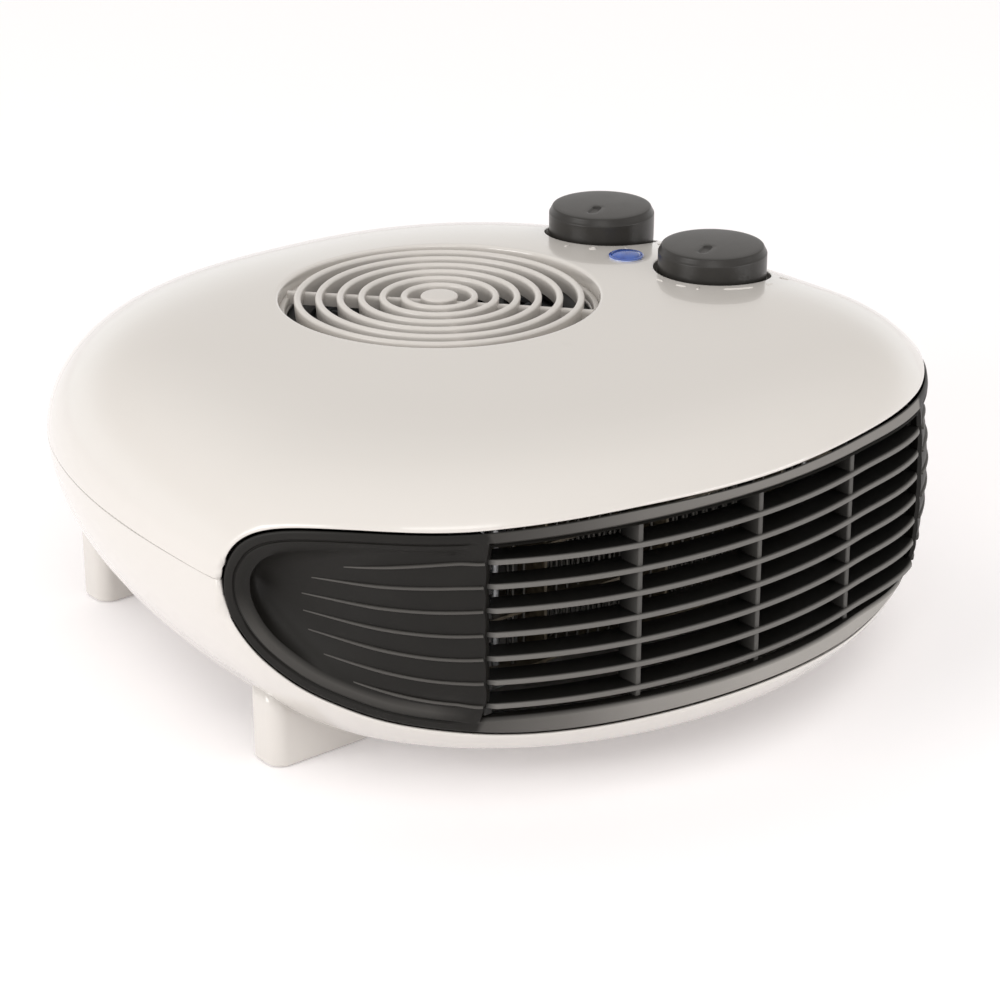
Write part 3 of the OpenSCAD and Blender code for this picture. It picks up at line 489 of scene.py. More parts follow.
    # walls and floors of holes
    for (cx, cy, R_, rf, wz, flr) in holes:
        if wz is None: continue
        d = np.hypot(XY[:, 0] - cx, XY[:, 1] - cy); idx = np.where(np.abs(d - R_) < 0.02)[0]
        a = np.arctan2(XY[idx, 1] - cy, XY[idx, 0] - cx); idx = idx[np.argsort(a)]
        rings = [list(map(int, idx))]
        zt = np.array([V[i][2] for i in idx]); n = len(idx)
        for k in (0.12, 0.5, 0.88, 1.0):
            o = len(V)
            for j, i in enumerate(idx): V.append((V[i][0], V[i][1], zt[j] + (wz - zt[j]) * k)); NN.append((0, 0, 0))
            rings.append(list(range(o, o + n)))
        if flr:
            cen = np.array([cx, cy])
            for k in (0.9, 0.45, 0.0):
                o = len(V)
                for i in idx:
                    dx, dy = V[i][0] - cx, V[i][1] - cy; l = math.hypot(dx, dy); rad = flr + (l - flr) * k
                    V.append((cx + dx / l * rad, cy + dy / l * rad, wz)); NN.append((0, 0, 0))
                rings.append(list(range(o, o + n)))
        for A_, B_ in zip(rings[:-1], rings[1:]):
            for j in range(n):
                q = (A_[j], A_[(j + 1) % n], B_[(j + 1) % n], B_[j])
                Fc.append(q if up else tuple(reversed(q)))
    V = np.array(V); NN = np.array(NN)
    mn = vnormals(V, Fc)
    off = np.where((np.abs(NN).sum(1) > 0)[:, None], NN, mn)
    V2, F2 = thicken(V, Fc, wall, off)
    norm = np.vstack([NN, np.zeros_like(NN)])
    return V2, F2, norm


# ------------------------------------------------------------------ top cover
K1, K2 = (84.0, 37.5), (84.0, -16.5)
LENS = (69.5, 8.5)
WELL = 18.85
cover_holes = [(0.0, FY, 50.0, 1.0, 94.6, None), (K1[0], K1[1], WELL, 0.35, 92.0, 5.3), (K2[0], K2[1], WELL, 0.35, 92.0, 5.3),
               (LENS[0], LENS[1], 5.05, 0.35, None, None)]
V, F_, NRM = build_skin(FT, ztop_r, y_t, True, cover_holes, 0.60, 0.30, 4.0, wall=1.15)
seat = lathe([(47.6, 93.5), (52.2, 93.5), (52.2, 97.0), (50.35, 97.0), (50.2, 95.0), (47.6, 95.0)], 144, 0, FY)
V2, F2 = join([(V, F_), seat])
NRM = np.vstack([NRM, np.zeros((len(seat[0]), 3))])


def on_top(x, y):
    """Height of the cover and its normal at plan points."""
    x = np.atleast_1d(np.asarray(x, float)); y = np.atleast_1d(np.asarray(y, float))
    sk = on_top.sk
    X, N, _ = sk.at(sk.to_uv(x, y))
    return X, N


on_top.sk = Skin(FT, ztop_r, y_t, True)
piece("cover_shell", (V2, F2), ["top_cover"], "white", normals=NRM)


def stroke(pts, w, h, closed=False, seg=8):
    """Raised rounded mark that follows the cover; pts in plan."""
    pts = np.asarray(pts, float); n = len(pts)
    X, N = on_top(pts[:, 0], pts[:, 1])
    T = np.gradient(X, axis=0) if not closed else np.roll(X, -1, 0) - np.roll(X, 1, 0)
    T /= np.linalg.norm(T, axis=1)[:, None]
    S = np.cross(N, T)
    rings = []
    for i in range(n):
        e = 1.0
        if not closed:
            d = min(np.linalg.norm(pts[i] - pts[0]), np.linalg.norm(pts[i] - pts[-1])); e = math.sqrt(max(0.02, 1 - (1 - min(1, d / (w / 2))) ** 2))
        ring = []
        for k in range(seg):
            a = pi * k / (seg - 1)
            ring.append(X[i] + S[i] * (w / 2 * e * math.cos(a)) + N[i] * (h * e * math.sin(a) - 0.0))
        ring.append(X[i] - S[i] * (w / 2 * e) - N[i] * 0.25); ring.append(X[i] + S[i] * (w / 2 * e) - N[i] * 0.25)
        rings.append(ring)
    m = len(rings[0]); Vv = np.vstack(rings); Ff = []
    for i in range(n if closed else n - 1):
        j = (i + 1) % n
        for k in range(m):
            l = (k + 1) % m
            Ff.append((i * m + k, i * m + l, j * m + l, j * m + k)[::-1])
    if not closed:
        Ff.append(tuple(range(m))); Ff.append(tuple((n - 1) * m + k for k in reversed(range(m))))
    return Vv, [f[::-1] for f in Ff]


def arc_pts(c, r, a0, a1, n=14): return [(c[0] + r * math.cos(math.radians(a0 + (a1 - a0) * i / (n - 1))), c[1] + r * math.sin(math.radians(a0 + (a1 - a0) * i / (n - 1)))) for i in range(n)]
def dash(c, r, a, L, n=8):
    ca, sa = math.cos(math.radians(a)), math.sin(math.radians(a)); return [(c[0] + (r + L * (i / (n - 1) - .5)) * ca, c[1] + (r + L * (i / (n - 1) - .5)) * sa) for i in range(n)]


marks = []
# selector: two dashes and two small rings (generic position marks)
marks.append(stroke(dash(K1, 23.0, 250, 3.0), 0.8, 0.28))
marks.append(stroke(arc_pts((K1[0] + 23 * math.cos(math.radians(222)), K1[1] + 23 * math.sin(math.radians(222))), 1.0, 0, 345, 16), 0.6, 0.28, closed=True))
marks.append(stroke(dash(K1, 23.0, 200, 3.0), 0.8, 0.28))
marks.append(stroke(arc_pts((K1[0] + 23 * math.cos(math.radians(290)), K1[1] + 23 * math.sin(math.radians(290))), 1.3, 0, 345, 16), 0.6, 0.28, closed=True))
# thermostat: an arc that grows, with a small end mark
marks.append(stroke(arc_pts(K2, 22.6, 176, 184, 7), 0.7, 0.28))
marks.append(stroke(arc_pts(K2, 22.6, 197, 206, 8), 0.8, 0.28))
marks.append(stroke(dash(K2, 23.0, 216, 2.6), 0.8, 0.28))
marks.append(stroke(arc_pts(K2, 22.6, 236, 262, 16), 0.9, 0.28))
marks.append(stroke(arc_pts(K2, 22.6, 276, 284, 7), 0.8, 0.28))
marks.append(stroke(dash(K2, 23.0, 310, 3.2), 0.9, 0.28))
piece("cover_marks", join(marks), ["top_cover"], "white", sharp=50)

# ------------------------------------------------------------------ bottom housing
slots = []
for i in range(-3, 4):
    x0, x1, y0, y1, c = i * 9 - 2.0, i * 9 + 2.0, 64.0, 86.0, 1.9
    p = []
    for (cx, cy, a) in ((x1 - c, y1 - c, 0), (x0 + c, y1 - c, 90), (x0 + c, y0 + c, 180), (x1 - c, y0 + c, 270)):
        p += [(cx + c * math.cos(math.radians(a + t)), cy + c * math.sin(math.radians(a + t))) for t in (0, 30, 60, 90)]
    slots.append(np.array(p)[::2])
cx, cz = 50.0, 36.0
_zt = np.linspace(0.784, 1.0, 4001); _zz = zlow_r(_zt)


def y_rear(x, z):
    """Rear surface of the lower shell at x and height z."""
    r_ = np.interp(z, _zz, _zt); return WY + RD * np.maximum(0, r_ ** NB - np.abs(np.asarray(x) / A) ** NB) ** (1 / NB)


th = np.linspace(0, 2 * pi, 73)[:-1]
cord_cut = np.stack([cx + 9.7 * np.cos(th), y_rear(cx + 9.7 * np.cos(th), cz + 9.7 * np.sin(th))], 1)
BOSS = [(100, -8), (-100, -8), (76, 64), (-76, 64)]
low_holes = [(bx, by, 3.8, 0.3, 27.6, 1.9) for bx, by in BOSS]
V, F_, NRM = build_skin(FL, zlow_r, y_b, False, low_holes, 0.60, 0.30, 4.4, shapes=slots + [cord_cut], wall=1.15, bend=(0.755, 0.93, 2.0))
parts = [(V, F_)]


def foot(x0, y0, mirror):
    """Moulded foot: rounded plan, slight draft, rolled lower edge, its top inside the shell wall."""
    L_, W_, r = 36.4, 14.0, 4.8
    base = []
    for (cx, cy, a) in ((L_ - 4.5, W_ - 4.5, 0), (r, W_ - r, 90), (r, r, 180), (L_ - 4.5, 4.5, 270)):
        rad = 4.5 if cx > 20 else r
        base += [(cx + rad * math.cos(math.radians(a + t)), cy + rad * math.sin(math.radians(a + t))) for t in range(0, 91, 10)]
    base = np.array(base); cen = np.array([L_ / 2, W_ / 2])

    def ring(ins, z):
        d = base - cen; n = d / np.linalg.norm(d, axis=1)[:, None]
        q = base - n * ins
        X = x0 + q[:, 0]; Y = y0 + q[:, 1]
        if mirror: X = -X
        Z = np.full(len(q), z) if not callable(z) else z(X, Y)
        r_ = np.stack([X, Y, Z], 1)
        return r_[::-1] if mirror else r_
    rings = [ring(1.2 - 1.2 * math.sin(math.radians(a)) + 0.3, 1.2 - 1.2 * math.cos(math.radians(a))) for a in (0, 18, 36, 54, 72, 90)]
    top = lambda X, Y: zlow_r(rr(X, Y, FL)) + 0.6
    for k in (0.25, 0.5, 0.75):
        rings.append(ring(0.3 * (1 - k), lambda X, Y: 1.2 + (np.maximum(top(X, Y), 3) - 1.2) * k))
    rings.append(ring(0.0, lambda X, Y: top(X, Y)))
    return loft(rings)


for m in (False, True):
    parts.append(foot(-113.6, -51.0, m)); parts.append(foot(-91.0, 77.0, m))
# cord barrel at the back: flush with the shell above, standing out of it below
ys = y_rear(cx + 9.7 * np.cos(th), cz + 9.7 * np.sin(th)); ye = np.maximum(111.8, ys - 0.1)
prof = [(6.1, lambda t: 96.0), (9.85, lambda t: 96.0), (9.85, lambda t: ye - 0.6), (9.5, lambda t: ye - 0.05), (9.2, lambda t: ye - 0.05), (8.95, lambda t: ye - 0.3), (8.9, lambda t: 111.6), (6.1, lambda t: 111.6)]
rings = []
for rad, f_ in prof: rings.append(np.stack([cx + rad * np.cos(th), f_(0) + 0 * th, cz + rad * np.sin(th)], 1))
bv = np.vstack(rings); bf = []; n_ = len(th); m_ = len(rings)
for k in range(m_):
    for i_ in range(n_):
        a_, b_ = k * n_ + i_, k * n_ + (i_ + 1) % n_; c_, d_ = ((k + 1) % m_) * n_ + (i_ + 1) % n_, ((k + 1) % m_) * n_ + i_
        bf.append((a_, d_, c_, b_))
parts.append((bv, bf))
V2, F2 = join(parts)
NRM = np.vstack([NRM, np.zeros((len(V2) - len(NRM), 3))])
piece("lower_shell", (V2, F2), ["bottom_housing"], "white", normals=NRM)
bush = lathe([(3.6, 0), (6.6, 0), (6.6, 1.5), (5.9, 1.8), (5.9, 18.6), (8.1, 18.75), (8.6, 19.3), (8.5, 20.3), (7.6, 20.95), (4.5, 21.0), (3.6, 20.4), (3.6, 10)], 64)
bv = bush[0]; bv = np.stack([cx + bv[:, 0], 93.0 + bv[:, 2], cz - bv[:, 1]], 1)
piece("cord_bushing_ring", (bv, bush[1]), ["cord_bushing"], "grille_white")

# ------------------------------------------------------------------ front panel
qx = np.linspace(0, XE, 4000)
yy_ = 0.5 * (y_t(qx) + y_b(qx)); qq = np.r_[0, np.cumsum(np.sqrt(np.diff(qx) ** 2 + np.diff(yy_) ** 2))]
def q_of(x): return np.sign(x) * np.interp(np.abs(x), qx, qq)
def x_of(q): return np.sign(q) * np.interp(np.abs(q), qq, qx)


xs = np.linspace(-1, 1, 1201); xs = np.sign(xs) * (1 - (1 - np.abs(xs)) ** 2.0) * (XE - 1e-4)
o_top = np.stack([q_of(xs), z_t(xs)], 1); o_bot = np.stack([q_of(xs), z_b(xs)], 1)
OUT = resample(np.vstack([o_bot, o_top[::-1]]), 1.3, closed=True)   # anticlockwise in (q, z)
# smooth the tips a little
for _ in range(6):
    tipm = np.abs(x_of(OUT[:, 0])) > 128.5
    S = (np.roll(OUT, 1, 0) + OUT * 2 + np.roll(OUT, -1, 0)) / 4
    OUT = np.where(tipm[:, None], S, OUT)
tn = np.roll(OUT, -1, 0) - np.roll(OUT, 1, 0); tn /= np.linalg.norm(tn, axis=1)[:, None]
IN = np.stack([-tn[:, 1], tn[:, 0]], 1)
OX = 81.9
def zo_t(x): return 84.0 - 2.0 * (x / 82) ** 2
def zo_b(x): return 28.6 - 1.8 * (x / 82) ** 2


W_DISH = 17.0
_off = spline([0, 82, 93, 98, 102.5, 106, 109, 113, 118, 123, 128, XE], [0.6, 0.6, 1.0, 2.0, 3.8, 6.5, 9.5, 13.0, 15.5, 15.5, 13.5, 11])
RZ = [75.6 - 7.2 * k for k in range(7)]
RL = [(108.7, 72.0), (112.2, 66.7), (113.0, 61.1), (112.9, 56.0), (112.9, 50.8), (112.1, 44.8), (108.8, 38.2)]


def ridge_z(k, x):
    xl, zl = RL[k]; t = np.clip((np.abs(x) - 82.0) / (xl - 82.0), 0, 1.6)
    return RZ[k] + (zl - RZ[k]) * t ** 1.9


def scallop(x, z):
    """Bands between the raised lines bulge a little."""
    x = np.abs(x); out = np.zeros_like(x)
    Z = np.stack([ridge_z(k, x) for k in range(7)], 0)
    fade = np.clip((112 - x) / 14, 0, 1)
    for k in range(6):
        m = (z <= Z[k]) & (z >= Z[k + 1]); f = (z - Z[k + 1]) / np.maximum(Z[k] - Z[k + 1], 1e-6)
        out = np.where(m, 0.55 * (4 * f * (1 - f)) * fade, out)
    return out


def depth(D, x, z):
    """(along the face normal, along y) set-back of the panel at distance D inside the body outline."""
    kn = [0.0, 1.08, 1.22, 1.40, 1.75, 3.5, 3.7, 3.9, 4.1, 4.3, 4.7, 7.9, 60]
    kd = [0.45, 0.45, 0.25, 0.10, 0.0, 0.0, 0.30, 0.55, 0.55, 0.25, 0.20, 1.9, 1.9]
    dn = np.interp(D, kn, kd)
    strip = np.interp(D, [1.08, 1.22, 1.40, 1.75, 60], [0.45, 0.25, 0.10, 0, 0])
    side = np.clip((np.abs(x) - 82.6) / 6.0, 0, 1); side = side * side * (3 - 2 * side)
    dn = strip + (dn - strip) * side
    t = np.clip((D - 7.9) / W_DISH, 0, 1)
    s = np.sin(t * pi / 2) ** 0.95
    oy = s * _off(x) * np.clip((np.abs(x) - 80) / 2.0, 0, 1)
    oy = oy - scallop(x, z) * np.clip((D - 6.0) / 4.0, 0, 1)
    return dn * (1 - s), oy


def panel_at(P, D=None):
    q, z = P[:, 0], P[:, 1]; x = x_of(q)
    if D is None: D = np.where(inside(P, OUT), poly_dist(P, OUT), 0)
    y = y_face(x, z)
    e = 0.4; sl = (y_face(x + e, z) - y_face(x - e, z)) / (2 * e)
    nx, ny = -sl / np.sqrt(1 + sl * sl), 1 / np.sqrt(1 + sl * sl)
    dn, oy = depth(D, x, z)
    return np.stack([x + nx * dn, y + ny * dn + oy, z], 1)


PP = []; LL = []
def padd(pts, closed=None):
    i = sum(len(p) for p in PP); PP.append(np.asarray(pts, float))
    if closed is not None: LL.append((list(range(i, i + len(pts))), closed))


levels = [1.08, 1.22, 1.40, 1.75, 2.6, 3.5, 3.7, 3.9, 4.1, 4.3, 4.7, 6.3, 7.9, 8.05, 8.35, 8.9, 9.7, 10.8, 12.4, 14.6, 17.4]
border_p = None
for D in levels:
    q = OUT + IN * D
    ok = poly_dist(q, OUT) > D - 0.05
    if D > 1.75:
        x = x_of(q[:, 0]); ok &= np.abs(x) > 83.4
    q = q[ok]
    if D == 1.08:
        q = resample(q, 1.3, closed=True); border_p = q; padd(q, True); continue
    if D <= 1.75: padd(q, True); continue
    # split in left and right runs
    for s in (-1, 1):
        r = q[np.sign(q[:, 0]) == s]
        if len(r) < 4: continue
        a = np.arctan2(r[:, 1] - 56, s * (r[:, 0] - s * 85)); r = r[np.argsort(a)]
        r = resample(r, 1.3 if D < 9 else 1.8)
        padd(r, False if D < 9 else None)
# opening
xo = np.linspace(-OX, OX, 121)
open_poly = np.vstack([np.stack([q_of(xo), zo_b(xo)], 1),
                       np.stack([np.full(30, q_of(OX)), np.linspace(zo_b(OX), zo_t(OX), 32)[1:-1]], 1),
                       np.stack([q_of(xo[::-1]), zo_t(xo[::-1])], 1),
                       np.stack([np.full(30, q_of(-OX)), np.linspace(zo_t(OX), zo_b(OX), 32)[1:-1]], 1)])
padd(open_poly, True)
g = []
for s in (-1, 1):
    for i, qv in enumerate(np.arange(q_of(83.2), q_of(126), 1.5)):
        for zv in np.arange(20, 90, 1.2): g.append((s * qv, zv + (0.6 if i % 2 else 0)))
g = np.array(g); ok = inside(g, OUT); g = g[ok]; dg = poly_dist(g, OUT); g = g[dg > 18.2]
# near the opening the dish runs out level with the louvres, so the grid reaches its edge
padd(g)
g2 = []
for s in (-1, 1):
    for xv in (82.15, 82.5, 83.0):
        for zv in np.arange(24, 86, 1.2): g2.append((s * float(q_of(xv)), zv))
g2 = np.array(g2); g2 = g2[inside(g2, OUT)]; g2 = g2[poly_dist(g2, OUT) > 2.0]; padd(g2)
PP = np.vstack(PP)
co, fa = cdt(PP, LL)
c = co[fa].mean(1)
keep = inside(c, border_p) & ~inside(c, open_poly)
fa = fa[keep]
used = np.unique(fa); mp = -np.ones(len(co), int); mp[used] = np.arange(len(used))
cu = co[used]; pv = panel_at(cu)
pf = [tuple(int(i) for i in mp[f]) for f in fa]      # (q, z) anticlockwise faces the front
# inner walls of the opening, turned back
edge_ids = []
dd = poly_dist(cu, open_poly)
near = np.where(dd < 0.01)[0]
key = {tuple(np.round(cu[i], 3)): i for i in near}
ring = [key.get(tuple(np.round(p.astype(np.float32).astype(float), 3))) for p in open_poly]
ring = [i for i in ring if i is not None]
pvl = list(map(tuple, pv)); n = len(ring); prev = ring
for back in (0.35, 1.0, 3.2):
    o = len(pvl)
    for i in ring:
        x, y, z = pv[i]; k = 0.12 if back == 0.35 else 0.0
        pvl.append((x, y + back, z))
    cur = list(range(o, o + n))
    for j in range(n): pf.append((prev[j], prev[(j + 1) % n], cur[(j + 1) % n], cur[j])[::-1])
    prev = cur
panel = thicken(np.array(pvl), pf, 1.5)


ribs = []
for sgn in (-1, 1):
    for k in range(7):
        xl, zl = RL[k]; X = np.linspace(82.2, xl, 34); Z = ridge_z(k, X)
        C = panel_at(np.stack([q_of(sgn * X), Z], 1))
        T = np.gradient(C, axis=0); T /= np.linalg.norm(T, axis=1)[:, None]
        rings = []; Zv = np.array([0, 0, 1.0])
        for i in range(len(C)):
            nrm = np.cross(T[i], Zv); nrm /= np.linalg.norm(nrm)
            if nrm[1] > 0: nrm = -nrm
            t = (len(C) - 1 - i) / (len(C) - 1); e = min(1, (t * 3.2 + 0.02)) ** 0.7
            h, wd = 0.85 * e, 0.48 * (0.35 + 0.65 * e)
            pr = [(-wd, -0.5), (-wd, 0.0), (-wd * 0.8, h * 0.62), (-wd * 0.25, h * 0.97), (wd * 0.35, h), (wd * 0.85, h * 0.75), (wd, h * 0.2), (wd, -0.5)]
            rings.append([C[i] + Zv * a + nrm * b for a, b in pr])
        v, f = loft(rings)
        if sgn > 0: f = [t[::-1] for t in f]
        ribs.append((v, f))
# the panel and its raised lines in one mesh
panel_all = join([panel] + ribs)
# painted highlight: the raised lines in the scoops take the lighter colour, as if lit from above
pe = np.zeros(len(panel_all[0])); pe[len(panel[0]):] = 0.20
npv = len(panel[0]) // 2
Dp = poly_dist(np.stack([q_of(panel[0][:npv, 0]), panel[0][:npv, 2]], 1), OUT)
px_, pz_ = np.abs(panel[0][:npv, 0]), panel[0][:npv, 2]
front_part = np.arange(npv) < len(pv)
# painted shade: the bezel strips' lighter tone is scaled down towards the left end (0.15 at x = -82, full at x = 82),
# so their left part reads shaded; the bottom strip takes the full tone, the top one a little over half
painted_shade_ramp = np.interp(panel[0][:npv, 0], [-82, -60, -40, 0, 82], [0.15, 0.35, 0.65, 0.92, 1.0])
lo_s = np.where(pz_ < 56, 1.0, 0.55) * painted_shade_ramp * np.clip((82.1 - px_) / 0.4, 0, 1) * ((pz_ > zo_t(px_) - 0.1) | (pz_ < zo_b(px_) + 0.1)) * np.clip((Dp - 1.2) / 0.2, 0, 1)
pe[:npv] = lo_s * front_part
# painted sheen: the lower part of the scoops' inner bevel takes a little of the lighter colour, as where light from
# above catches it
bevel_painted_sheen = np.clip((Dp - 4.6) / 0.3, 0, 1) * np.clip((8.6 - Dp) / 0.8, 0, 1) * np.clip((62 - pz_) / 12, 0, 1) * np.clip((px_ - 84) / 8, 0, 1)
pe[:npv] = np.maximum(pe[:npv], bevel_painted_sheen * 0.13 * front_part)
piece("front_panel", panel_all, ["front_bezel"], "black", sharp=34, edge=pe)

# ------------------------------------------------------------------ louvres
def blade(zc, depth_=10.0, half=81.3):
    """One curved blade with a rounded front edge and slanted front corners."""
    n = 81; xs = np.linspace(-half, half, n); prof = []
    t = 1.5
    front = [(0.0, -0.42), (-0.0, 0.42)]
    sec = [(0.22, -0.72), (0.06, -0.60), (0.0, -0.40), (0.0, 0.40), (0.06, 0.60), (0.22, 0.72), (1.2, 0.75), (4.0, 0.72), (7.0, 0.66),
           (depth_ - 0.3, 0.6), (depth_, 0.35), (depth_, -0.35), (depth_ - 0.3, -0.6), (7.0, -0.66), (4.0, -0.72), (1.2, -0.75)]
    rings = []
    for x in xs:
        cut = max(0.0, 1.4 - (half - abs(x))) * 1.0
        y0 = louvre_y(x)
        rings.append([(x, y0 + max(d, cut + (d if d < 1 else 0) * 0.3), zc + h) for d, h in sec])
    v, f = loft(rings)
    return v, [t_[::-1] for t_ in f]


lv = []
for k in range(7): lv.append(blade(54 + (3 - k) * 7.2 - 0.0))
for x in (-40.5, 0.0, 40.5):
    y0 = louvre_y(x) + 1.0
    lv.append(rbox(x - 0.85, x + 0.85, y0, y0 + 8.0, 28.9, 83.6 if x == 0 else 83.2, 0.25))
for s in (-1, 1):
    xa, xb = sorted((s * 78.6, s * 81.2))
    lv.append(rbox(xa, xb, louvre_y(s * 80) + 4.2, louvre_y(s * 80) + 10.5, 27.4, 82.0, 0.25))
    for k in range(8):
        zc = 54 + (3.5 - k) * 7.2
        xa, xb = sorted((s * 78.7, s * 81.4))
        lv.append(rbox(xa, xb, louvre_y(s * 80) + 2.3, louvre_y(s * 80) + 6.0, zc + 0.4, zc + 2.9, 0.2))
n_blades = 7 * 81 * 16 + 14
LV = join(lv)
# painted highlight: the rounded front edge of each blade and the front of the three ribs take the lighter colour, the
# blade tops stay dark
louvre_painted_highlight = np.clip((0.9 - (LV[0][:, 1] - louvre_y(LV[0][:, 0]))) / 0.7, 0, 1)
louvre_painted_highlight[n_blades:] = np.where(np.abs(LV[0][n_blades:, 0]) < 50, 0.55, 0.0) * (LV[0][n_blades:, 1] - louvre_y(LV[0][n_blades:, 0]) < 1.6)
piece("louvre_set", LV, ["outlet_grille"], "louvre", sharp=40, edge=louvre_painted_highlight)

# ------------------------------------------------------------------ inlet grille
gp = []
for i in range(6):
    r = 10.95 + 6.62 * i
    prof = [(r - 0.75, 95.6), (r + 0.75, 95.6), (r + 0.95, 98.0), (r + 1.10, 100.2)] + arc(r, 100.35, 1.12, 8, 172, 10) + [(r - 1.10, 100.2), (r - 0.95, 98.0)]
    gp.append(lathe(prof, 160, 0, FY))
gp.append(lathe([(0, 95.4), (5.3, 95.4), (5.55, 98.0), (5.75, 100.3)] + arc(5.0, 100.5, 0.85, 10, 80, 6) + [(4.0, 101.42), (2.0, 101.5), (0, 101.52)], 96, 0, FY, closed=False))
gp.append(lathe([(47.9, 95.15), (49.95, 95.15), (49.95, 96.9), (49.5, 97.3), (48.2, 97.3), (47.9, 97.0)], 160, 0, FY))
for a in (61, 130, 241, 310):
    n = 26; rings = []
    for i in range(n):
        rad = 4.6 + (48.6 - 4.6) * i / (n - 1); w = 1.0
        prof = [(-w * .75, 95.3), (w * .75, 95.3), (w, 98.2), (w * .9, 99.0), (w * .55, 99.35), (-w * .55, 99.35), (-w * .9, 99.0), (-w, 98.2)]
        ca, sa = math.cos(math.radians(a)), math.sin(math.radians(a))
        rings.append([(rad * ca - p * sa, FY + rad * sa + p * ca, z) for p, z in prof])
    v, f = loft(rings); gp.append((v, f))
piece("inlet_ring_grille", join(gp), ["inlet_grille"], "grille_white", sharp=45)

# ------------------------------------------------------------------ knobs
def knob(c, ang):
    """Turned knob: skirt, soft bevel, slightly domed top with a sunk pointer."""
    R = 17.4; top = 109.58
    side = [(15.4, 92.8), (16.9, 92.8), (17.1, 93.1), (17.2, 95.0), (17.35, 99), (17.4, 103), (17.4, 105.6)] + \
           arc(16.7, 106.6, 0.7, 0, 50, 4) + [(16.95, 107.6), (16.6, 108.25)] + arc(15.75, 108.39, 0.72, 15, 80, 5)
    zt = lambda r: top - 0.36 * (r / 14.4) ** 2.2
    ring_r = [14.6, 13.2, 11.8]
    prof = side + [(r, zt(r)) for r in ring_r]
    n = 144
    v, f = lathe(prof, n, 0, 0, closed=False)
    # top disc with the pointer recess
    last = [i for i in range(len(v) - n, len(v))]
    outer = v[last][:, :2]
    st = lambda x0, x1, w, m=9: np.array([(x1 + w * math.cos(t), w * math.sin(t)) for t in np.linspace(-pi / 2, pi / 2, m)] + [(x0 + w * math.cos(t), w * math.sin(t)) for t in np.linspace(pi / 2, 3 * pi / 2, m)])
    lo = [resample(st(4.9, 9.3, w), s, True) for w, s in ((1.95, 0.5), (1.65, 0.42), (1.35, 0.42), (1.1, 0.40))]
    P = [outer]; loops = [(list(range(n)), True)]
    o = n
    for l in lo: P.append(l); loops.append((list(range(o, o + len(l))), True)); o += len(l)
    g = [(x + (0.7 if j % 2 else 0), y) for j, y in enumerate(np.arange(-12, 12, 1.2)) for x in np.arange(-12, 12, 1.4)]
    g = np.array(g); g = g[np.hypot(g[:, 0], g[:, 1]) < 11.1]; g = g[(poly_dist(g, lo[0]) > 0.6)]; P.append(g)
    co, fa = cdt(np.vstack(P), loops)
    rad = np.hypot(co[:, 0], co[:, 1]); z = zt(rad)
    dx = np.clip(co[:, 0], 4.9, 9.3); dist = np.hypot(co[:, 0] - dx, co[:, 1])
    z = z + np.interp(dist, [1.1, 1.3, 1.65, 1.95], [-0.70, -0.62, -0.05, 0.0])
    base = len(v)
    tv = np.stack([co[:, 0], co[:, 1], z], 1)
    mp = {}
    for i in range(len(co)):
        if rad[i] > 11.75:
            j = int(round((math.atan2(co[i, 1], co[i, 0]) % (2 * pi)) / (2 * pi / n))) % n; mp[i] = last[j]
    ids = {}; allv = list(map(tuple, v))
    for i in range(len(co)):
        if i in mp: ids[i] = mp[i]
        else: ids[i] = len(allv); allv.append(tuple(tv[i]))
    ff = list(f) + [tuple(ids[int(i)] for i in t) for t in fa if len(set(ids[int(i)] for i in t)) == 3]
    # inside of the skirt, closing the body
    inner = lathe([(15.4, 92.8), (15.3, 104.4), (5.4, 104.4), (5.4, 92.9), (3.05, 92.9), (3.05, 104.0), (0, 104.0)][::-1], n, 0, 0, closed=False)
    iv, fi = inner
    # weld the inner skin to the outer lower edge
    first = list(range(n)); o = len(allv); m2 = len(iv)
    remap = {}
    for i in range(m2):
        if abs(math.hypot(iv[i][0], iv[i][1]) - 15.4) < 1e-6 and abs(iv[i][2] - 92.8) < 1e-6:
            j = int(round((math.atan2(iv[i][1], iv[i][0]) % (2 * pi)) / (2 * pi / n))) % n; remap[i] = first[j]
        else: remap[i] = len(allv); allv.append(tuple(iv[i]))
    ff += [tuple(remap[i] for i in t) for t in fi]
    vv = np.array(allv); ca, sa = math.cos(math.radians(ang)), math.sin(math.radians(ang))
    vv = np.stack([c[0] + vv[:, 0] * ca - vv[:, 1] * sa, c[1] + vv[:, 0] * sa + vv[:, 1] * ca, vv[:, 2]], 1)
    return vv, ff


piece("selector_knob_cap", knob(K1, 210), ["selector_knob"], "knob", body="selector", sharp=38)
piece("thermostat_knob_cap", knob(K2, 208), ["thermostat_knob"], "knob", body="thermostat", sharp=38)

# ------------------------------------------------------------------ pilot lens
lp = [(4.0, 95.8), (4.85, 95.8), (4.95, 100.5), (4.95, 101.72), (5.35, 101.75), (5.66, 101.95), (5.66, 102.15), (5.3, 102.4), (4.9, 102.35), (4.65, 102.2)] + \
     [(4.6 * math.cos(math.radians(a)), 102.2 + 1.15 * math.sin(math.radians(a))) for a in (8, 20, 33, 46, 60, 74)] + [(0, 103.35)]
lens_out = lathe(lp, 72, LENS[0], LENS[1], closed=False)
inn = lathe([(0, 98.0), (3.7, 98.0), (4.0, 97.6), (4.0, 95.8)], 72, LENS[0], LENS[1], closed=False)
v, f = join([lens_out, inn])
me_pairs = {}
piece("lens_cap", (v, f), ["pilot_lens"], "lens", sharp=50)
# the rim's lighter blue is painted highlight on the lens
rim = lathe([(5.0, 101.5), (5.55, 101.6), (5.58, 101.95), (5.38, 102.22), (5.1, 102.3), (4.9, 102.15)], 72, LENS[0], LENS[1])
piece("lens_rim_painted_highlight", rim, ["pilot_lens"], "lens_rim_painted_highlight", sharp=50)

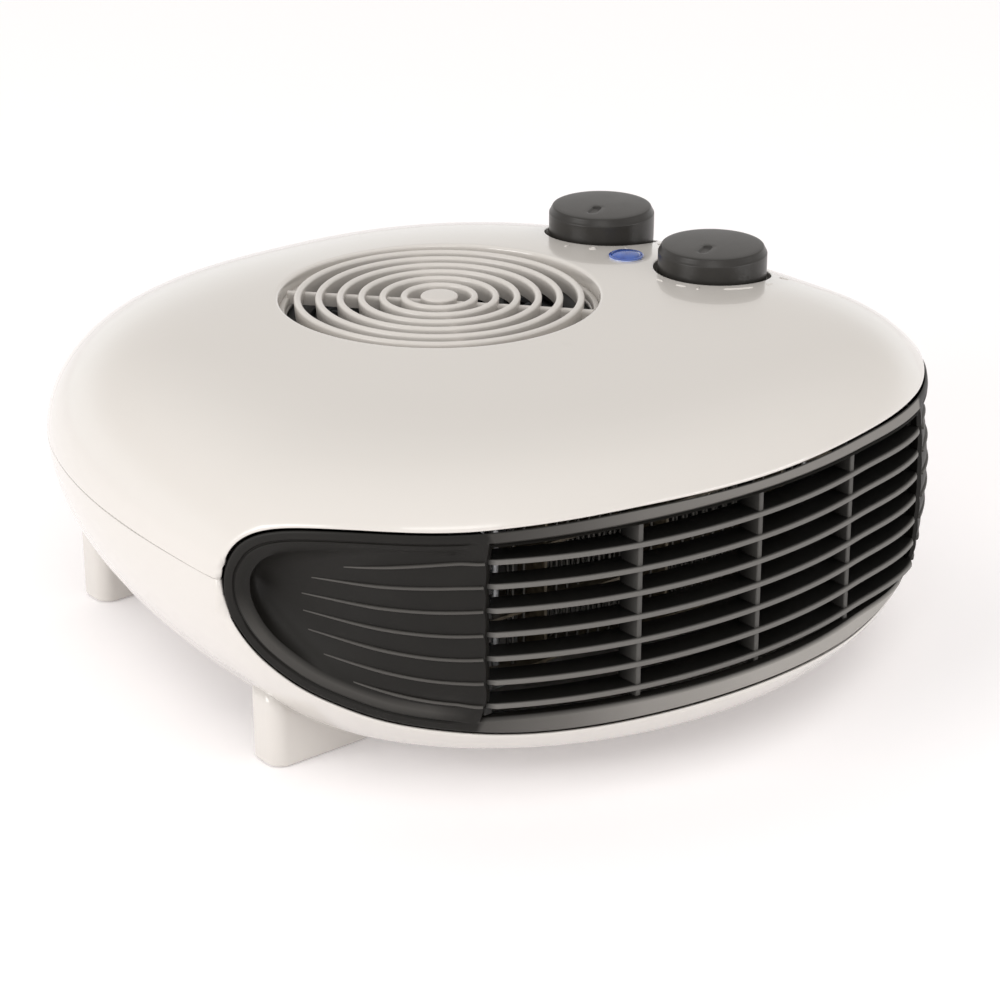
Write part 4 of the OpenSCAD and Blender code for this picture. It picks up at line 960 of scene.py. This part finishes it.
# ------------------------------------------------------------------ CAD nodes that stay: finishes
FIN = {"pilot_lamp": "glassy", "control_bracket": "zinc", "control_screws": "screw", "selector_switch": "phenolic", "selector_spindle": "zinc",
       "thermostat_body": "ceramic", "thermostat_blades": "brass", "thermostat_spindle": "zinc", "air_duct": "duct", "motor_plate": "zinc",
       "motor_screws": "screw", "stator_laminations": "lamination", "stator_coil": "copper", "upper_bearing_bracket": "aluminium",
       "lower_bearing_bracket": "aluminium", "bearing_bushes": "bronze", "stator_bolts": "screw", "motor_rotor": "lamination", "motor_shaft": "zinc",
       "impeller": "fan", "impeller_clip": "screw", "element_boards": "mica", "heating_wires": "wire", "element_brackets": "zinc",
       "element_screws": "screw", "thermal_cutout": "ceramic", "thermal_fuse": "ceramic", "terminal_block": "ceramic", "terminal_screws": "brass",
       "terminal_fixing_screws": "screw", "cord_clamp": "phenolic", "clamp_screws": "screw", "housing_screws": "screw"}
for n_, m_ in FIN.items():
    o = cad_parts.get(n_)
    if o is not None:
        o.data.materials.clear(); o.data.materials.append(M[m_])

# ------------------------------------------------------------------ stage, light, camera
fm = bpy.data.meshes.new("studio_floor")
S_ = 6.0; nseg = 24; fv = []; ff = []
for i in range(nseg + 1):
    for j in range(nseg + 1): fv.append((-S_ + 2 * S_ * i / nseg, -S_ + 2 * S_ * j / nseg, -0.0003))
for i in range(nseg):
    for j in range(nseg):
        a = i * (nseg + 1) + j; ff.append((a, a + nseg + 1, a + nseg + 2, a + 1))
fm.from_pydata(fv, [], ff); fm.update()
floor = bpy.data.objects.new("studio_floor", fm); bpy.context.scene.collection.objects.link(floor); fm.materials.append(M["floor"])

sc = bpy.context.scene
w = bpy.data.worlds.new("studio"); sc.world = w; w.use_nodes = True
nt = w.node_tree; bg = nt.nodes["Background"]
tc = nt.nodes.new("ShaderNodeTexCoord"); sx = nt.nodes.new("ShaderNodeSeparateXYZ"); cr = nt.nodes.new("ShaderNodeValToRGB")
nt.links.new(tc.outputs["Generated"], sx.inputs["Vector"]); nt.links.new(sx.outputs["Z"], cr.inputs["Fac"])
cr.color_ramp.interpolation = "EASE"
cr.color_ramp.elements[0].position = 0.0; cr.color_ramp.elements[0].color = (1.12, 1.11, 1.10, 1)
cr.color_ramp.elements[1].position = 1.0; cr.color_ramp.elements[1].color = (1.0, 0.985, 0.97, 1)
e_ = cr.color_ramp.elements.new(0.12); e_.color = (1.08, 1.07, 1.06, 1)
e_ = cr.color_ramp.elements.new(0.34); e_.color = (0.74, 0.71, 0.68, 1)
e_ = cr.color_ramp.elements.new(0.70); e_.color = (0.86, 0.84, 0.82, 1)
nt.links.new(cr.outputs["Color"], bg.inputs["Color"]); bg.inputs["Strength"].default_value = 0.97


def area(name, loc, target, size, power, col=(1, 1, 1), sy=None):
    l = bpy.data.lights.new(name, "AREA"); l.energy = power; l.size = size; l.color = col
    if sy: l.shape = "RECTANGLE"; l.size_y = sy
    o = bpy.data.objects.new(name, l); sc.collection.objects.link(o); o.location = loc
    d = Vector(target) - Vector(loc); o.rotation_euler = d.to_track_quat("-Z", "Y").to_euler()
    return o


area("left_box", (-1.5, 0.1, 0.60), (-0.05, -0.03, 0.05), 0.9, 9.0, (1.0, 0.99, 0.98), 0.6)
area("key_box", (-0.75, -0.95, 1.15), (0.0, -0.05, 0.06), 0.7, 3.0, (1.0, 0.99, 0.975), 0.5)
area("front_low_box", (0.75, -1.35, 0.30), (0.0, -0.05, 0.03), 1.1, 5.0, (1.0, 1.0, 1.0), 0.35)

cam = bpy.data.cameras.new("camera"); co_ = bpy.data.objects.new("camera", cam); sc.collection.objects.link(co_)
co_.location = (-0.55027, -0.69128, 0.40727)
co_.rotation_euler = (math.radians(67.30), 0, math.radians(-39.04))
cam.sensor_width = 36; cam.lens = 109.59; cam.clip_start = 0.01; cam.clip_end = 50
sc.camera = co_
sc.view_settings.view_transform = "Standard"
